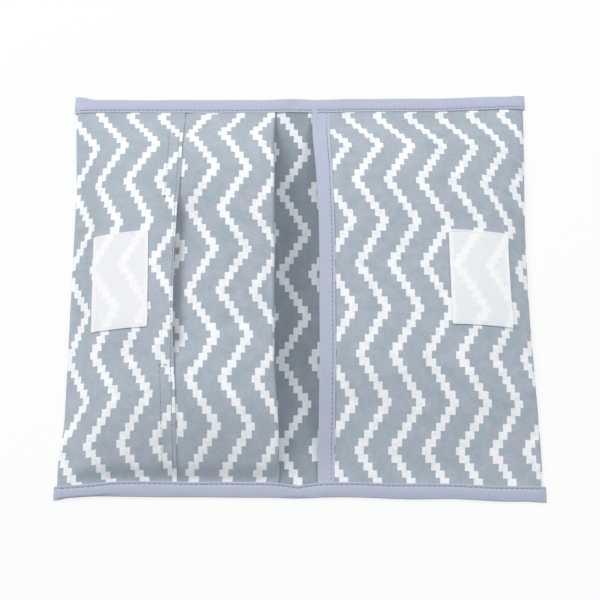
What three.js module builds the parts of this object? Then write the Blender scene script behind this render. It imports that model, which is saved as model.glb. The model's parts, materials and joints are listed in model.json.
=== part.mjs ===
// A cloth pouch for diapers and wipes, lying open on a table with its pockets up.
// Millimetres, +Z up, +X towards the diaper pocket, +Y towards the top edge.
// Every piece is a sheet of cloth, given by the middle face of the cloth and its thickness.

import * as THREE from 'three';

// Whole pouch
const OPEN_WIDTH = 302;
const HEIGHT = 280;
const SPINE_WIDTH = 30.5;
const CLOTH = 0.7;
const LAYER_GAP = 0.3;

// Binding tape on the top and bottom edges
const BINDING_WIDTH = 11;
const BINDING_OVERHANG = 0.5;
const STEP_RUN = 2.7;

// Wipes pocket, on the left half
const WIPES_CROWN = 18.8;
const WIPES_TOP_RAMP = 72;
const WIPES_BOTTOM_RAMP = 56;
const WIPES_FOLD_FALL = 1.6;
const FLAP_WIDTH = 72;
const FLAP_OVERLAP = 10;
const SLIT_LENGTH = 115;
const SLIT_TAPER = 18;
const SLIT_GAPE = 5.5;
const LIP_FADE = 24;

// Diaper pocket, on the right half
const DIAPER_CROWN = 15;
const DIAPER_TOP_RAMP = 66;
const DIAPER_BOTTOM_RAMP = 116;
const DIAPER_SIDE_POWER = 2.3;
const MOUTH_OVERHANG = 2.8;
const MOUTH_RUN_IN = 3;
const MOUTH_BINDING_WIDTH = 10;

// Hook and loop patches, sewn on a little out of line with each other
const PATCH_WIDTH = 38;
const PATCH_LENGTH = 66;
const PATCH_THICKNESS = 1.2;
const PATCH_FROM_SIDE = 16;
const LOOP_PATCH_Y = -1.5;
const HOOK_PATCH_Y = 1.5;

// Clearances between pieces that meet edge to edge
const FOLD_GAP = 0.15;
const SIDE_CLEARANCE = 0.3;
const WALL_END_GAP = 1.3;

// Numbers of facets
const TURN_FACETS = 4;
const PANEL_FACETS = 8;
const END_FACETS = 18;
const PATCH_FACETS = 4;

// Finishes
const PRINTED_CLOTH = { color: 0xa9b5be, roughness: 0.75 };
const LINING_CLOTH = { color: 0x95a2ac, roughness: 0.8 };
const BINDING_TAPE = { color: 0xb8bcd4, roughness: 0.7 };
const LOOP_PILE = { color: 0xf0f1f4, roughness: 0.95 };
const HOOK_TAPE = { color: 0xe6eaee, roughness: 0.5 };

// The cloth lies in layers between the two legs of the binding. Layer 0 is the tape's lower leg.
const LAYER = CLOTH + LAYER_GAP;
const COVER_LAYER = 1;
const LINING_LAYER = 2;
const POCKET_LAYER = 3;
const FLAP_LAYER = 4;
const middleOfLayer = (layer) => layer * LAYER + CLOTH / 2;
const tapeLayerOver = (layer) => layer + 1;

// Plan sizes worked out from the driving ones
const HALF_WIDTH = OPEN_WIDTH / 2;
const SIDE_X = HALF_WIDTH - BINDING_OVERHANG - CLOTH / 2;
const PANEL_X = SIDE_X - CLOTH / 2 - SIDE_CLEARANCE;
const FOLD_X = SPINE_WIDTH / 2;
const EDGE_Y = HEIGHT / 2;
const POCKET_Y = EDGE_Y - BINDING_WIDTH - LAYER_GAP;
const TUCK_Y = EDGE_Y - (tapeLayerOver(FLAP_LAYER) * LAYER) / 2 - CLOTH / 2;
const FLAT_Y = POCKET_Y - STEP_RUN;
const SLIT_X = FLAP_WIDTH - SIDE_X;
const WIPES_EDGE_X = -FOLD_X - CLOTH;
const MOUTH_X = FOLD_X - MOUTH_OVERHANG;
const MOUTH_END_Y = POCKET_Y - MOUTH_RUN_IN;

// A pocket front turns down at its side, from its layer to just above the lower leg of the binding
const SIDE_FOOT = LAYER;
const sideTurn = (layer) => middleOfLayer(layer) - SIDE_FOOT;
const LINING_X = SIDE_X - sideTurn(FLAP_LAYER) - SIDE_CLEARANCE;

const clamp01 = (t) => Math.min(1, Math.max(0, t));
const smooth = (t) => clamp01(t) ** 2 * (3 - 2 * clamp01(t));
const ease = (t) => Math.sin((Math.PI / 2) * clamp01(t));

// Evenly spaced values from one end to the other, both included
function spaced(from, to, steps) {
  return Array.from({ length: steps + 1 }, (_, i) => from + ((to - from) * i) / steps);
}

const POCKET_ROWS = [-TUCK_Y, ...spaced(-POCKET_Y, POCKET_Y, END_FACETS), TUCK_Y];

// Closed solid of a cloth sheet. at(u, v) is a point of its middle face, us and vs are the values of
// its rows and columns of points, and lift raises the sheet off that face.
function sheetGeometry(at, us, vs, thickness, lift = 0) {
  const positions = [];
  const index = [];
  const rows = us.length;
  const columns = vs.length;
  const nudge = 1e-3;
  for (const side of [1, -1]) {
    for (const u of us) {
      for (const v of vs) {
        const alongU = at(u + nudge, v).sub(at(u - nudge, v));
        const alongV = at(u, v + nudge).sub(at(u, v - nudge));
        const normal = alongU.cross(alongV).normalize();
        const point = at(u, v).addScaledVector(normal, lift + (side * thickness) / 2);
        positions.push(point.x, point.y, point.z);
      }
    }
  }
  const upper = (i, j) => i * columns + j;
  const lower = (i, j) => rows * columns + i * columns + j;
  const quad = (a, b, c, d) => index.push(a, b, c, a, c, d);
  const lastRow = rows - 1;
  const lastColumn = columns - 1;
  for (let i = 0; i < lastRow; i += 1) {
    for (let j = 0; j < lastColumn; j += 1) {
      quad(upper(i, j), upper(i + 1, j), upper(i + 1, j + 1), upper(i, j + 1));
      quad(lower(i, j), lower(i, j + 1), lower(i + 1, j + 1), lower(i + 1, j));
    }
    quad(lower(i, 0), lower(i + 1, 0), upper(i + 1, 0), upper(i, 0));
    quad(lower(i + 1, lastColumn), lower(i, lastColumn), upper(i, lastColumn), upper(i + 1, lastColumn));
  }
  for (let j = 0; j < lastColumn; j += 1) {
    quad(lower(0, j + 1), lower(0, j), upper(0, j), upper(0, j + 1));
    quad(lower(lastRow, j), lower(lastRow, j + 1), upper(lastRow, j + 1), upper(lastRow, j));
  }
  const geometry = new THREE.BufferGeometry();
  geometry.setAttribute('position', new THREE.Float32BufferAttribute(positions, 3));
  geometry.setIndex(index);
  geometry.computeVertexNormals();
  return geometry;
}

function piece(name, geometry, finish) {
  const mesh = new THREE.Mesh(geometry, new THREE.MeshStandardMaterial({ metalness: 0, ...finish }));
  mesh.name = name;
  return mesh;
}

// Back cover and lining: flat panels that step up one layer into the binding at both ends
function flatPanel(name, fromX, toX, layer, finish) {
  const at = (x, y) => {
    const stepUp = clamp01((Math.abs(y) - FLAT_Y) / STEP_RUN);
    return new THREE.Vector3(x, y, middleOfLayer(layer - 1 + stepUp));
  };
  const rows = [-TUCK_Y, -POCKET_Y, -FLAT_Y, FLAT_Y, POCKET_Y, TUCK_Y];
  return piece(name, sheetGeometry(at, [fromX, toX], rows, CLOTH), finish);
}

// Section of a tape folded over an edge. u goes from 0 to 1 along the lower leg, to 2 round the turn
// and to 3 back along the upper leg. inward is measured from the tape's outermost face, and up from
// the middle of what the tape holds.
const TAPE_STEPS = [0, ...spaced(1, 2, TURN_FACETS), 3];

function tapeSection(u, width, turnRadius) {
  const centre = turnRadius + CLOTH / 2;
  if (u < 1) {
    return { inward: centre + (width - centre) * (1 - u), up: -turnRadius };
  }
  if (u > 2) {
    return { inward: centre + (width - centre) * (u - 2), up: turnRadius };
  }
  const angle = Math.PI * (u - 1.5);
  return { inward: centre - turnRadius * Math.cos(angle), up: turnRadius * Math.sin(angle) };
}

// Length of binding on the top (end = 1) or bottom (end = -1) edge, with its upper leg on a given layer
function edgeBinding(name, end, fromX, toX, upperLayer) {
  const turnRadius = (upperLayer * LAYER) / 2;
  const at = (u, x) => {
    const { inward, up } = tapeSection(u, BINDING_WIDTH, turnRadius);
    return new THREE.Vector3(x, end * (EDGE_Y - inward), middleOfLayer(0) + turnRadius + up);
  };
  return piece(name, sheetGeometry(at, TAPE_STEPS, [fromX, toX], CLOTH), BINDING_TAPE);
}

// Wipes pocket: crown of the whole pocket above the layer that each panel starts from
function wipesCrown(x, y) {
  const across = (x + SIDE_X) / FLAP_WIDTH;
  const pastSlit = clamp01((x - SLIT_X) / (WIPES_EDGE_X - SLIT_X));
  const crown = WIPES_CROWN * ease(across) - WIPES_FOLD_FALL * pastSlit ** 2;
  const ramp = y > 0 ? WIPES_TOP_RAMP : WIPES_BOTTOM_RAMP;
  return crown * ease((POCKET_Y - Math.abs(y)) / ramp);
}

// How far the inner panel drops below the flap at the slit
function slitGape(x, y) {
  const alongSlit = smooth((SLIT_LENGTH / 2 - Math.abs(y)) / SLIT_TAPER);
  return SLIT_GAPE * alongSlit * (1 - smooth((x - SLIT_X) / LIP_FADE));
}

const flapHeight = (x, y) => middleOfLayer(FLAP_LAYER) + wipesCrown(x, y);
const innerHeight = (x, y) => middleOfLayer(POCKET_LAYER) + wipesCrown(x, y) - slitGape(x, y);

// u goes from 0 to 1 up the side turn, and to 2 across to the slit
function wipesFlap() {
  const turn = sideTurn(FLAP_LAYER);
  const at = (u, y) => {
    const angle = (Math.PI / 2) * Math.min(u, 1);
    const fromSide = u < 1 ? turn * (1 - Math.cos(angle)) : THREE.MathUtils.lerp(turn, FLAP_WIDTH, u - 1);
    const x = fromSide - SIDE_X;
    return new THREE.Vector3(x, y, flapHeight(x, y) - turn * (1 - Math.sin(angle)));
  };
  const steps = [...spaced(0, 1, TURN_FACETS), ...spaced(1, 2, PANEL_FACETS).slice(1)];
  return piece('wipes_flap', sheetGeometry(at, steps, POCKET_ROWS, CLOTH), PRINTED_CLOTH);
}

function wipesInnerPanel() {
  const at = (x, y) => new THREE.Vector3(x, y, innerHeight(x, y));
  const steps = spaced(SLIT_X - FLAP_OVERLAP, WIPES_EDGE_X, PANEL_FACETS);
  return piece('wipes_inner_panel', sheetGeometry(at, steps, POCKET_ROWS, CLOTH), PRINTED_CLOTH);
}

// Wall under the inner panel's fold, from the lining up to the panel
function wipesSideWall() {
  const foot = LINING_LAYER * LAYER;
  const endY = FLAT_Y - WALL_END_GAP;
  const at = (y, t) => {
    const top = innerHeight(WIPES_EDGE_X, y) - CLOTH / 2 - LAYER_GAP;
    return new THREE.Vector3(WIPES_EDGE_X - CLOTH / 2, y, foot + t * (top - foot));
  };
  const columns = spaced(-endY, endY, END_FACETS);
  return piece('wipes_side_wall', sheetGeometry(at, columns, [0, 1], CLOTH), PRINTED_CLOTH);
}

// Diaper pocket: the front is nearly level from its mouth and falls away in a rounded side.
// Its top end is full and its bottom end runs out flat.
function diaperHeight(x, y) {
  const across = clamp01((SIDE_X - x) / (SIDE_X - MOUTH_X));
  const side = (1 - (1 - across) ** DIAPER_SIDE_POWER) ** (1 / DIAPER_SIDE_POWER);
  const inside = POCKET_Y - Math.abs(y);
  const end = y > 0 ? ease(inside / DIAPER_TOP_RAMP) : smooth(inside / DIAPER_BOTTOM_RAMP);
  return middleOfLayer(POCKET_LAYER) + DIAPER_CROWN * side * end;
}

// Cut edge of the pocket front, inside the mouth binding, which runs in beside the fold at both ends
function mouthEdge(y) {
  const runIn = smooth((Math.abs(y) - MOUTH_END_Y) / MOUTH_RUN_IN);
  return THREE.MathUtils.lerp(MOUTH_X + LAYER, FOLD_X + FOLD_GAP, runIn);
}

// u goes from 0 to 1 across from the mouth, and to 2 down the side turn
function diaperPocketFront() {
  const turn = sideTurn(POCKET_LAYER);
  const at = (u, y) => {
    const angle = (Math.PI / 2) * Math.max(u - 1, 0);
    const across = THREE.MathUtils.lerp(mouthEdge(y), SIDE_X - turn, u);
    const x = u < 1 ? across : SIDE_X - turn * (1 - Math.sin(angle));
    return new THREE.Vector3(x, y, diaperHeight(x, y) - turn * (1 - Math.cos(angle)));
  };
  const across = spaced(0, 1, PANEL_FACETS).map((t) => ease(t));
  const steps = [...across, ...spaced(1, 2, TURN_FACETS).slice(1)];
  const rows = [...POCKET_ROWS, -MOUTH_END_Y, MOUTH_END_Y].sort((a, b) => a - b);
  return piece('diaper_pocket_front', sheetGeometry(at, steps, rows, CLOTH), PRINTED_CLOTH);
}

function mouthBinding() {
  const at = (u, y) => {
    const { inward, up } = tapeSection(u, MOUTH_BINDING_WIDTH, LAYER);
    const x = MOUTH_X + inward;
    return new THREE.Vector3(x, y, diaperHeight(x, y) + up);
  };
  const rows = spaced(-MOUTH_END_Y, MOUTH_END_Y, END_FACETS);
  return piece('mouth_binding', sheetGeometry(at, TAPE_STEPS, rows, CLOTH), BINDING_TAPE);
}

// Patch sewn on a pocket front, the same distance in from either side
function patch(name, side, middleY, height, finish) {
  const outer = side * (SIDE_X + CLOTH / 2 - PATCH_FROM_SIDE);
  const inner = outer - side * PATCH_WIDTH;
  const at = (x, y) => new THREE.Vector3(x, y, height(x, y));
  const columns = spaced(Math.min(outer, inner), Math.max(outer, inner), PATCH_FACETS);
  const rows = spaced(middleY - PATCH_LENGTH / 2, middleY + PATCH_LENGTH / 2, PATCH_FACETS);
  const lift = CLOTH / 2 + LAYER_GAP + PATCH_THICKNESS / 2;
  return piece(name, sheetGeometry(at, columns, rows, PATCH_THICKNESS, lift), finish);
}

// The cloth that crosses the spine, as one length for each part of the pouch between the folds.
// Its upper layer in the binding differs, because the flap and the pocket fronts end there too.
function foldingCloth() {
  const lengths = [
    { part: 'left', cover: [-PANEL_X, -FOLD_X], lining: [-LINING_X, -FOLD_X], tape: [-HALF_WIDTH, -FOLD_X],
      upperLayer: tapeLayerOver(FLAP_LAYER) },
    { part: 'spine', cover: [-FOLD_X, FOLD_X], lining: [-FOLD_X, FOLD_X], tape: [-FOLD_X, FOLD_X],
      upperLayer: tapeLayerOver(LINING_LAYER) },
    { part: 'right', cover: [FOLD_X, PANEL_X], lining: [FOLD_X, LINING_X], tape: [FOLD_X, HALF_WIDTH],
      upperLayer: tapeLayerOver(POCKET_LAYER) },
  ];
  const inset = ([from, to]) => [from + FOLD_GAP, to - FOLD_GAP];
  return lengths.flatMap(({ part, cover, lining, tape, upperLayer }) => [
    flatPanel(`back_cover_${part}`, ...inset(cover), COVER_LAYER, PRINTED_CLOTH),
    flatPanel(`lining_${part}`, ...inset(lining), LINING_LAYER, LINING_CLOTH),
    edgeBinding(`top_binding_${part}`, 1, ...inset(tape), upperLayer),
    edgeBinding(`bottom_binding_${part}`, -1, ...inset(tape), upperLayer),
  ]);
}

const pouch = new THREE.Group();
pouch.add(...foldingCloth());
pouch.add(wipesFlap(), wipesInnerPanel(), wipesSideWall());
pouch.add(diaperPocketFront(), mouthBinding());
pouch.add(patch('loop_patch', -1, LOOP_PATCH_Y, flapHeight, LOOP_PILE));
pouch.add(patch('hook_patch', 1, HOOK_PATCH_Y, diaperHeight, HOOK_TAPE));

export default pouch;
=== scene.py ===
"""Dresses an open cloth pouch: printed pockets on a folding spine, bound edges, patches and thread."""

from __future__ import annotations

import json
import logging
import math
from dataclasses import dataclass, field
from enum import Enum
from typing import Callable, Optional, Union

import bpy
import numpy as np
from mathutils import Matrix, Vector

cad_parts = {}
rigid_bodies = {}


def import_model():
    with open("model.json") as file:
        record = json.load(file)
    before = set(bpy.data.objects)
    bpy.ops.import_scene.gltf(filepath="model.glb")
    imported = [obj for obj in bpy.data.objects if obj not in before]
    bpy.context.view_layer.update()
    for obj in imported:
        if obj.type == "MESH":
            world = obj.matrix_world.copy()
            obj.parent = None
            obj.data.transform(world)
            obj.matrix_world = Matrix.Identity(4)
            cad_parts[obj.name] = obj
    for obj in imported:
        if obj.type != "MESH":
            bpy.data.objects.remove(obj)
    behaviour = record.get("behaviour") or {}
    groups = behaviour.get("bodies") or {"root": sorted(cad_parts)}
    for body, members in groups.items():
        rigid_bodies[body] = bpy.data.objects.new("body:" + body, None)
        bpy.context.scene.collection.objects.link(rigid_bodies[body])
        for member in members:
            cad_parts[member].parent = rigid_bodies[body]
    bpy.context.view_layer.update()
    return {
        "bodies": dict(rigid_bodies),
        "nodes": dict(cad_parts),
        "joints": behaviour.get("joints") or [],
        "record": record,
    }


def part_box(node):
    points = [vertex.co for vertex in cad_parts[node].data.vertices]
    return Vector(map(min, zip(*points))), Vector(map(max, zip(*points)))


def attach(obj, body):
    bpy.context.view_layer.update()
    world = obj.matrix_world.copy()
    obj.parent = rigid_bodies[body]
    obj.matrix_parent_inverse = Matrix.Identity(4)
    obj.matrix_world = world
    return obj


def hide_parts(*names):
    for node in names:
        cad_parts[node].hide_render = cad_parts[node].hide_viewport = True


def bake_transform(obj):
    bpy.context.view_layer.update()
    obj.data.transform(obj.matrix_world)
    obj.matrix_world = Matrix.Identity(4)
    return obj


LOG = logging.getLogger("pouch")
MM = 0.001
SEAM_STEP = 2 * MM

Array = np.ndarray
Pair = tuple[float, float]
Triple = tuple[float, float, float]
Colour = tuple[float, float, float, float]
Material = bpy.types.Material
Node = bpy.types.Node
Piece = bpy.types.Object
Socket = bpy.types.NodeSocket
Tree = bpy.types.NodeTree
Value = Union[float, int, tuple, Socket]
Seam = tuple[Array, Array]
WHITE: Colour = (1.0, 1.0, 1.0, 1.0)


def srgb(*display: int) -> Colour:
    """Turns a display colour into a linear one.

    Args:
        display: red, green and blue, from 0 to 255.

    Returns:
        The linear colour, with full alpha.
    """
    shares = [channel / 255 for channel in display]
    linear = [c / 12.92 if c <= 0.04045 else ((c + 0.055) / 1.055) ** 2.4 for c in shares]
    return (*linear, 1.0)


def clamp01(t: Array) -> Array:
    """The value kept between 0 and 1."""
    return np.clip(t, 0.0, 1.0)


def ease(t: Array) -> Array:
    """Quarter sine from 0 to 1, level at the end."""
    return np.sin(0.5 * np.pi * clamp01(t))


def smooth(t: Array) -> Array:
    """Step from 0 to 1 that is level at both ends."""
    t = clamp01(t)
    return t * t * (3.0 - 2.0 * t)


def quarter_round(t: Array) -> Array:
    """Height of a quarter circle of radius 1, from its foot at 0 to its top at 1."""
    return np.sqrt(1.0 - (1.0 - clamp01(t)) ** 2)


def ramp(t: Array, start: float, run: float) -> Array:
    """Straight climb from 0 to 1 along t, with its start and run in millimetres."""
    return clamp01((t - start * MM) / (run * MM))


def rise(t: Array, start: float, run: float) -> Array:
    """Soft climb from 0 to 1 along t, with its start and run in millimetres."""
    return smooth((t - start * MM) / (run * MM))


def bell(t: Array, place: float, width: float) -> Array:
    """Bell of height 1 along t, with its place and width in millimetres."""
    return np.exp(-((t - place * MM) / (width * MM)) ** 2)


def ripple(along: Array, wave: float, seed: int) -> Array:
    """An uneven soft wave, between -1 and 1.

    Args:
        along: distance along the seam, in metres.
        wave: typical length of one wave, in metres.
        seed: picks one wave out of many.

    Returns:
        The wave's height at each distance.
    """
    phases = np.random.default_rng(seed).uniform(0.0, 2.0 * np.pi, 4)
    lengths = wave * np.array([0.61, 0.87, 1.23, 1.9])
    return sum(np.sin(2.0 * np.pi * along / w + p) for w, p in zip(lengths, phases)) / 4.0


def path_lengths(points: Array, axis: int) -> Array:
    """Measures along one direction of a grid of points.

    Args:
        points: columns by rows of points.
        axis: 0 to measure across the columns, 1 to measure along the rows.

    Returns:
        The distance of each point from the first line.
    """
    steps = np.linalg.norm(np.diff(points, axis=axis), axis=2)
    start = np.zeros_like(np.take(steps, [0], axis=axis))
    return np.concatenate([start, np.cumsum(steps, axis=axis)], axis=axis)


def moved(line: Array, across: Union[float, Array], down: Union[float, Array]) -> Array:
    """Copies a line of points to another place.

    Args:
        line: the points.
        across: how far each moves along x.
        down: how far each moves down.

    Returns:
        The moved points.
    """
    copy = line.copy()
    copy[:, 0] += across
    copy[:, 2] -= down
    return copy


def seam_on(height: Callable[[Array, Array], Array], x: Array, y: Array, above: float) -> Seam:
    """Lays a seam line on a surface.

    Args:
        height: height of the surface at x and y.
        x: where the line runs.
        y: where the line runs.
        above: how far the line lies above the surface.

    Returns:
        Points along the line and the surface's normals there.
    """
    nudge = 0.8 * MM
    z = height(x, y)
    slope_x = (height(x + nudge, y) - height(x - nudge, y)) / (2.0 * nudge)
    slope_y = (height(x, y + nudge) - height(x, y - nudge)) / (2.0 * nudge)
    lay = np.stack([-slope_x, -slope_y, np.ones_like(z)], axis=-1)
    lay /= np.linalg.norm(lay, axis=-1, keepdims=True)
    return np.stack([x, y, z], axis=-1) + above * lay, lay


def placed(name: str, data: bpy.types.ID) -> Piece:
    """Puts new data into the scene.

    Args:
        name: name of the object.
        data: its mesh, lamp or camera.

    Returns:
        The new object.
    """
    made = bpy.data.objects.new(name, data)
    bpy.context.scene.collection.objects.link(made)
    return made


class Half(Enum):
    """The two halves of a strip that crosses the spine, cut at the middle of the spine."""

    WIPES = ("left", -1, "wipes_half")
    DIAPER = ("right", 1, "diaper_half")

    def __init__(self, side: str, sign: int, body: str) -> None:
        """Names one half.

        Args:
            side: ending of the names of its nodes.
            sign: which way it lies along x.
            body: body that carries it.
        """
        self.side = side
        self.sign = sign
        self.body = body


class Edge(Enum):
    """The two bound edges of the pouch."""

    TOP = ("top", 1)
    BOTTOM = ("bottom", -1)

    def __init__(self, label: str, sign: int) -> None:
        """Takes the start of the names of its nodes, and which way it lies along y."""
        self.label = label
        self.sign = sign


@dataclass(frozen=True)
class Curve:
    """How far a line strays from straight, as soft climbs and bells along it, in millimetres.

    A climb is an amount, a start and a run, and faces the other way where its run is below 0.
    A bell is an amount, a place and a width.
    """

    base: float
    climbs: tuple[Triple, ...] = ()
    bells: tuple[Triple, ...] = ()

    def at(self, t: Array) -> Array:
        """Looks the curve up.

        Args:
            t: distances along the line, in metres.

        Returns:
            How far the line strays there, in metres.
        """
        strayed = np.full_like(t, self.base)
        for amount, start, run in self.climbs:
            strayed = strayed + amount * rise(t, start, run)
        for amount, place, width in self.bells:
            strayed = strayed + amount * bell(t, place, width)
        return strayed * MM


@dataclass
class Nodes:
    """Adds nodes to one tree and wires them."""

    tree: Tree
    given: Optional[Node] = None
    out: Optional[Node] = None

    @classmethod
    def emptied(cls, owner: Union[Material, bpy.types.World]) -> "Nodes":
        """Starts the nodes of a material or a world afresh.

        Args:
            owner: the material or world.

        Returns:
            Its empty tree.
        """
        owner.use_nodes = True
        owner.node_tree.nodes.clear()
        return cls(owner.node_tree)

    @classmethod
    def group(cls, name: str, kind: str, inputs: dict[str, tuple[str, Optional[float]]],
              outputs: dict[str, str]) -> "Nodes":
        """Starts a node group with named sockets.

        Args:
            name: name of the group.
            kind: Blender's name of the tree type.
            inputs: socket type and default of each input.
            outputs: socket type of each output.

        Returns:
            The group's tree with its two end nodes.
        """
        nodes = cls(bpy.data.node_groups.new(name, kind))
        for label, (sort, default) in inputs.items():
            made = nodes.tree.interface.new_socket(label, in_out="INPUT", socket_type=sort)
            if default is not None:
                made.default_value = default
        for label, sort in outputs.items():
            nodes.tree.interface.new_socket(label, in_out="OUTPUT", socket_type=sort)
        nodes.given = nodes.add("NodeGroupInput")
        nodes.out = nodes.add("NodeGroupOutput")
        return nodes

    def ask(self, name: str) -> Socket:
        """One of the group's own inputs."""
        return self.given.outputs[name]

    def give(self, name: str, value: Socket) -> None:
        """Wires a value to one of the group's own outputs."""
        self.tree.links.new(value, self.out.inputs[name])

    def add(self, kind: str, inputs: Optional[dict] = None, **settings: object) -> Node:
        """Adds one node.

        Args:
            kind: Blender's name of the node type.
            inputs: values or sockets for the node's inputs, by name or number.
            settings: properties of the node.

        Returns:
            The new node.
        """
        node = self.tree.nodes.new(kind)
        for key, value in settings.items():
            setattr(node, key, value)
        for key, value in (inputs or {}).items():
            if isinstance(value, Socket):
                self.tree.links.new(value, node.inputs[key])
            else:
                node.inputs[key].default_value = value
        return node

    def math(self, operation: str, *values: Value) -> Socket:
        """Result of a Math node on up to three values."""
        return self.add("ShaderNodeMath", dict(enumerate(values)), operation=operation).outputs[0]

    def mix(self, factor: Value, first: Value, second: Value, blend: str = "MIX") -> Socket:
        """Result of a colour Mix node."""
        inputs = {0: factor, 6: first, 7: second}
        return self.add("ShaderNodeMix", inputs, data_type="RGBA", blend_type=blend).outputs[2]

    def noise(self, place: Socket, scale: float, detail: float = 2.0) -> Socket:
        """Soft noise around a half."""
        return self.add("ShaderNodeTexNoise", {"Vector": place, "Scale": scale, "Detail": detail}).outputs[0]

    def flat(self, place: Socket) -> tuple[Socket, Socket]:
        """The x and y of a place."""
        parts = self.add("ShaderNodeSeparateXYZ", {0: place}).outputs
        return parts[0], parts[1]

    def shared(self, tree: Tree, **inputs: Value) -> bpy.types.NodeOutputs:
        """Outputs of a shader group that several materials use."""
        return self.add("ShaderNodeGroup", inputs, node_tree=tree).outputs


@dataclass(frozen=True)
class Zigzag:
    """The print: stepped zigzag stripes that run along y, with lengths in metres of cloth."""

    pitch: float = 20.7 * MM
    row: float = 4.9 * MM
    step: float = 2.78 * MM
    band: float = 2.0
    rows_to_turn: int = 6
    corner: float = 0.28
    grain: float = 2400.0


@dataclass
class ClothShaders:
    """Effects that several finishes share, each a shader node group that is built once."""

    size: Zigzag
    thread_relief: float = 0.35
    slub_scale: float = 420.0
    tone_noise: tuple[Pair, ...] = ((28.0, 0.25), (120.0, 0.4), (420.0, 0.35))
    cloud_scale: float = 115.0
    cloud_contrast: float = 2.6

    def __post_init__(self) -> None:
        """Builds every group."""
        self.zigzag = self._stepped_zigzag()
        self.weave = self._plain_weave()
        self.mottle = self._mottle()

    @staticmethod
    def _group(name: str, size: str, usual: float, *results: str) -> Nodes:
        """An empty shader group that takes a Place and one named size."""
        inputs = {"Place": ("NodeSocketVector", None), size: ("NodeSocketFloat", usual)}
        return Nodes.group(name, "ShaderNodeTree", inputs, dict.fromkeys(results, "NodeSocketFloat"))

    def _stepped_zigzag(self) -> Tree:
        """Builds the print, whose Stripe is 1 on the stripes and 0 between them.

        Returns:
            The group.
        """
        size = self.size
        nodes = self._group("stepped_zigzag", "Wobble", 1.1 * MM, "Stripe")
        grain = nodes.math("SUBTRACT", nodes.noise(nodes.ask("Place"), size.grain, 1.0), 0.5)
        wobble = nodes.math("MULTIPLY", grain, nodes.ask("Wobble"))
        x, y = nodes.flat(nodes.ask("Place"))
        row = nodes.math("FLOOR", nodes.math("DIVIDE", nodes.math("ADD", y, wobble), size.row))
        turn = nodes.math("PINGPONG", row, float(size.rows_to_turn))
        along = nodes.math("MULTIPLY_ADD", turn, size.step, nodes.math("ADD", x, wobble))
        across = nodes.math("FLOORED_MODULO", along, size.pitch)
        corner = size.corner * size.step
        by_right_tip = nodes.math("COMPARE", turn, 1.0, 0.5)
        by_left_tip = nodes.math("COMPARE", turn, size.rows_to_turn - 1.0, 0.5)
        right = nodes.math("MULTIPLY_ADD", by_right_tip, corner, size.band * size.step)
        left = nodes.math("MULTIPLY_ADD", by_left_tip, -corner, size.pitch)
        in_band = nodes.math("LESS_THAN", across, right)
        nodes.give("Stripe", nodes.math("MAXIMUM", in_band, nodes.math("GREATER_THAN", across, left)))
        return nodes.tree

    def _plain_weave(self) -> Tree:
        """Builds the Height of crossing threads, uneven along their length.

        Returns:
            The group.
        """
        nodes = self._group("plain_weave", "Thread", 0.4 * MM, "Height")
        x, y = nodes.flat(nodes.ask("Place"))
        turns = nodes.math("DIVIDE", math.pi, nodes.ask("Thread"))
        warp = nodes.math("SINE", nodes.math("MULTIPLY", x, turns))
        weft = nodes.math("SINE", nodes.math("MULTIPLY", y, turns))
        slub = nodes.noise(nodes.ask("Place"), self.slub_scale)
        crossing = nodes.math("MULTIPLY", warp, weft)
        nodes.give("Height", nodes.math("MULTIPLY_ADD", crossing, self.thread_relief, slub))
        return nodes.tree

    def _mottle(self) -> Tree:
        """Builds a Tone near 1 and a Cloud from 0 to 1, for cloth dyed a little unevenly.

        Returns:
            The group.
        """
        nodes = self._group("mottle", "Amount", 0.06, "Tone", "Cloud")
        uneven: Value = -0.5
        for scale, share in self.tone_noise:
            uneven = nodes.math("MULTIPLY_ADD", nodes.noise(nodes.ask("Place"), scale), share, uneven)
        nodes.give("Tone", nodes.math("MULTIPLY_ADD", uneven, nodes.ask("Amount"), 1.0))
        spots = nodes.math("SUBTRACT", nodes.noise(nodes.ask("Place"), self.cloud_scale), 0.5)
        cloud = nodes.math("MULTIPLY_ADD", spots, self.cloud_contrast, 0.5)
        nodes.give("Cloud", nodes.math("MAXIMUM", nodes.math("MINIMUM", cloud, 1.0), 0.0))
        return nodes.tree


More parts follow.
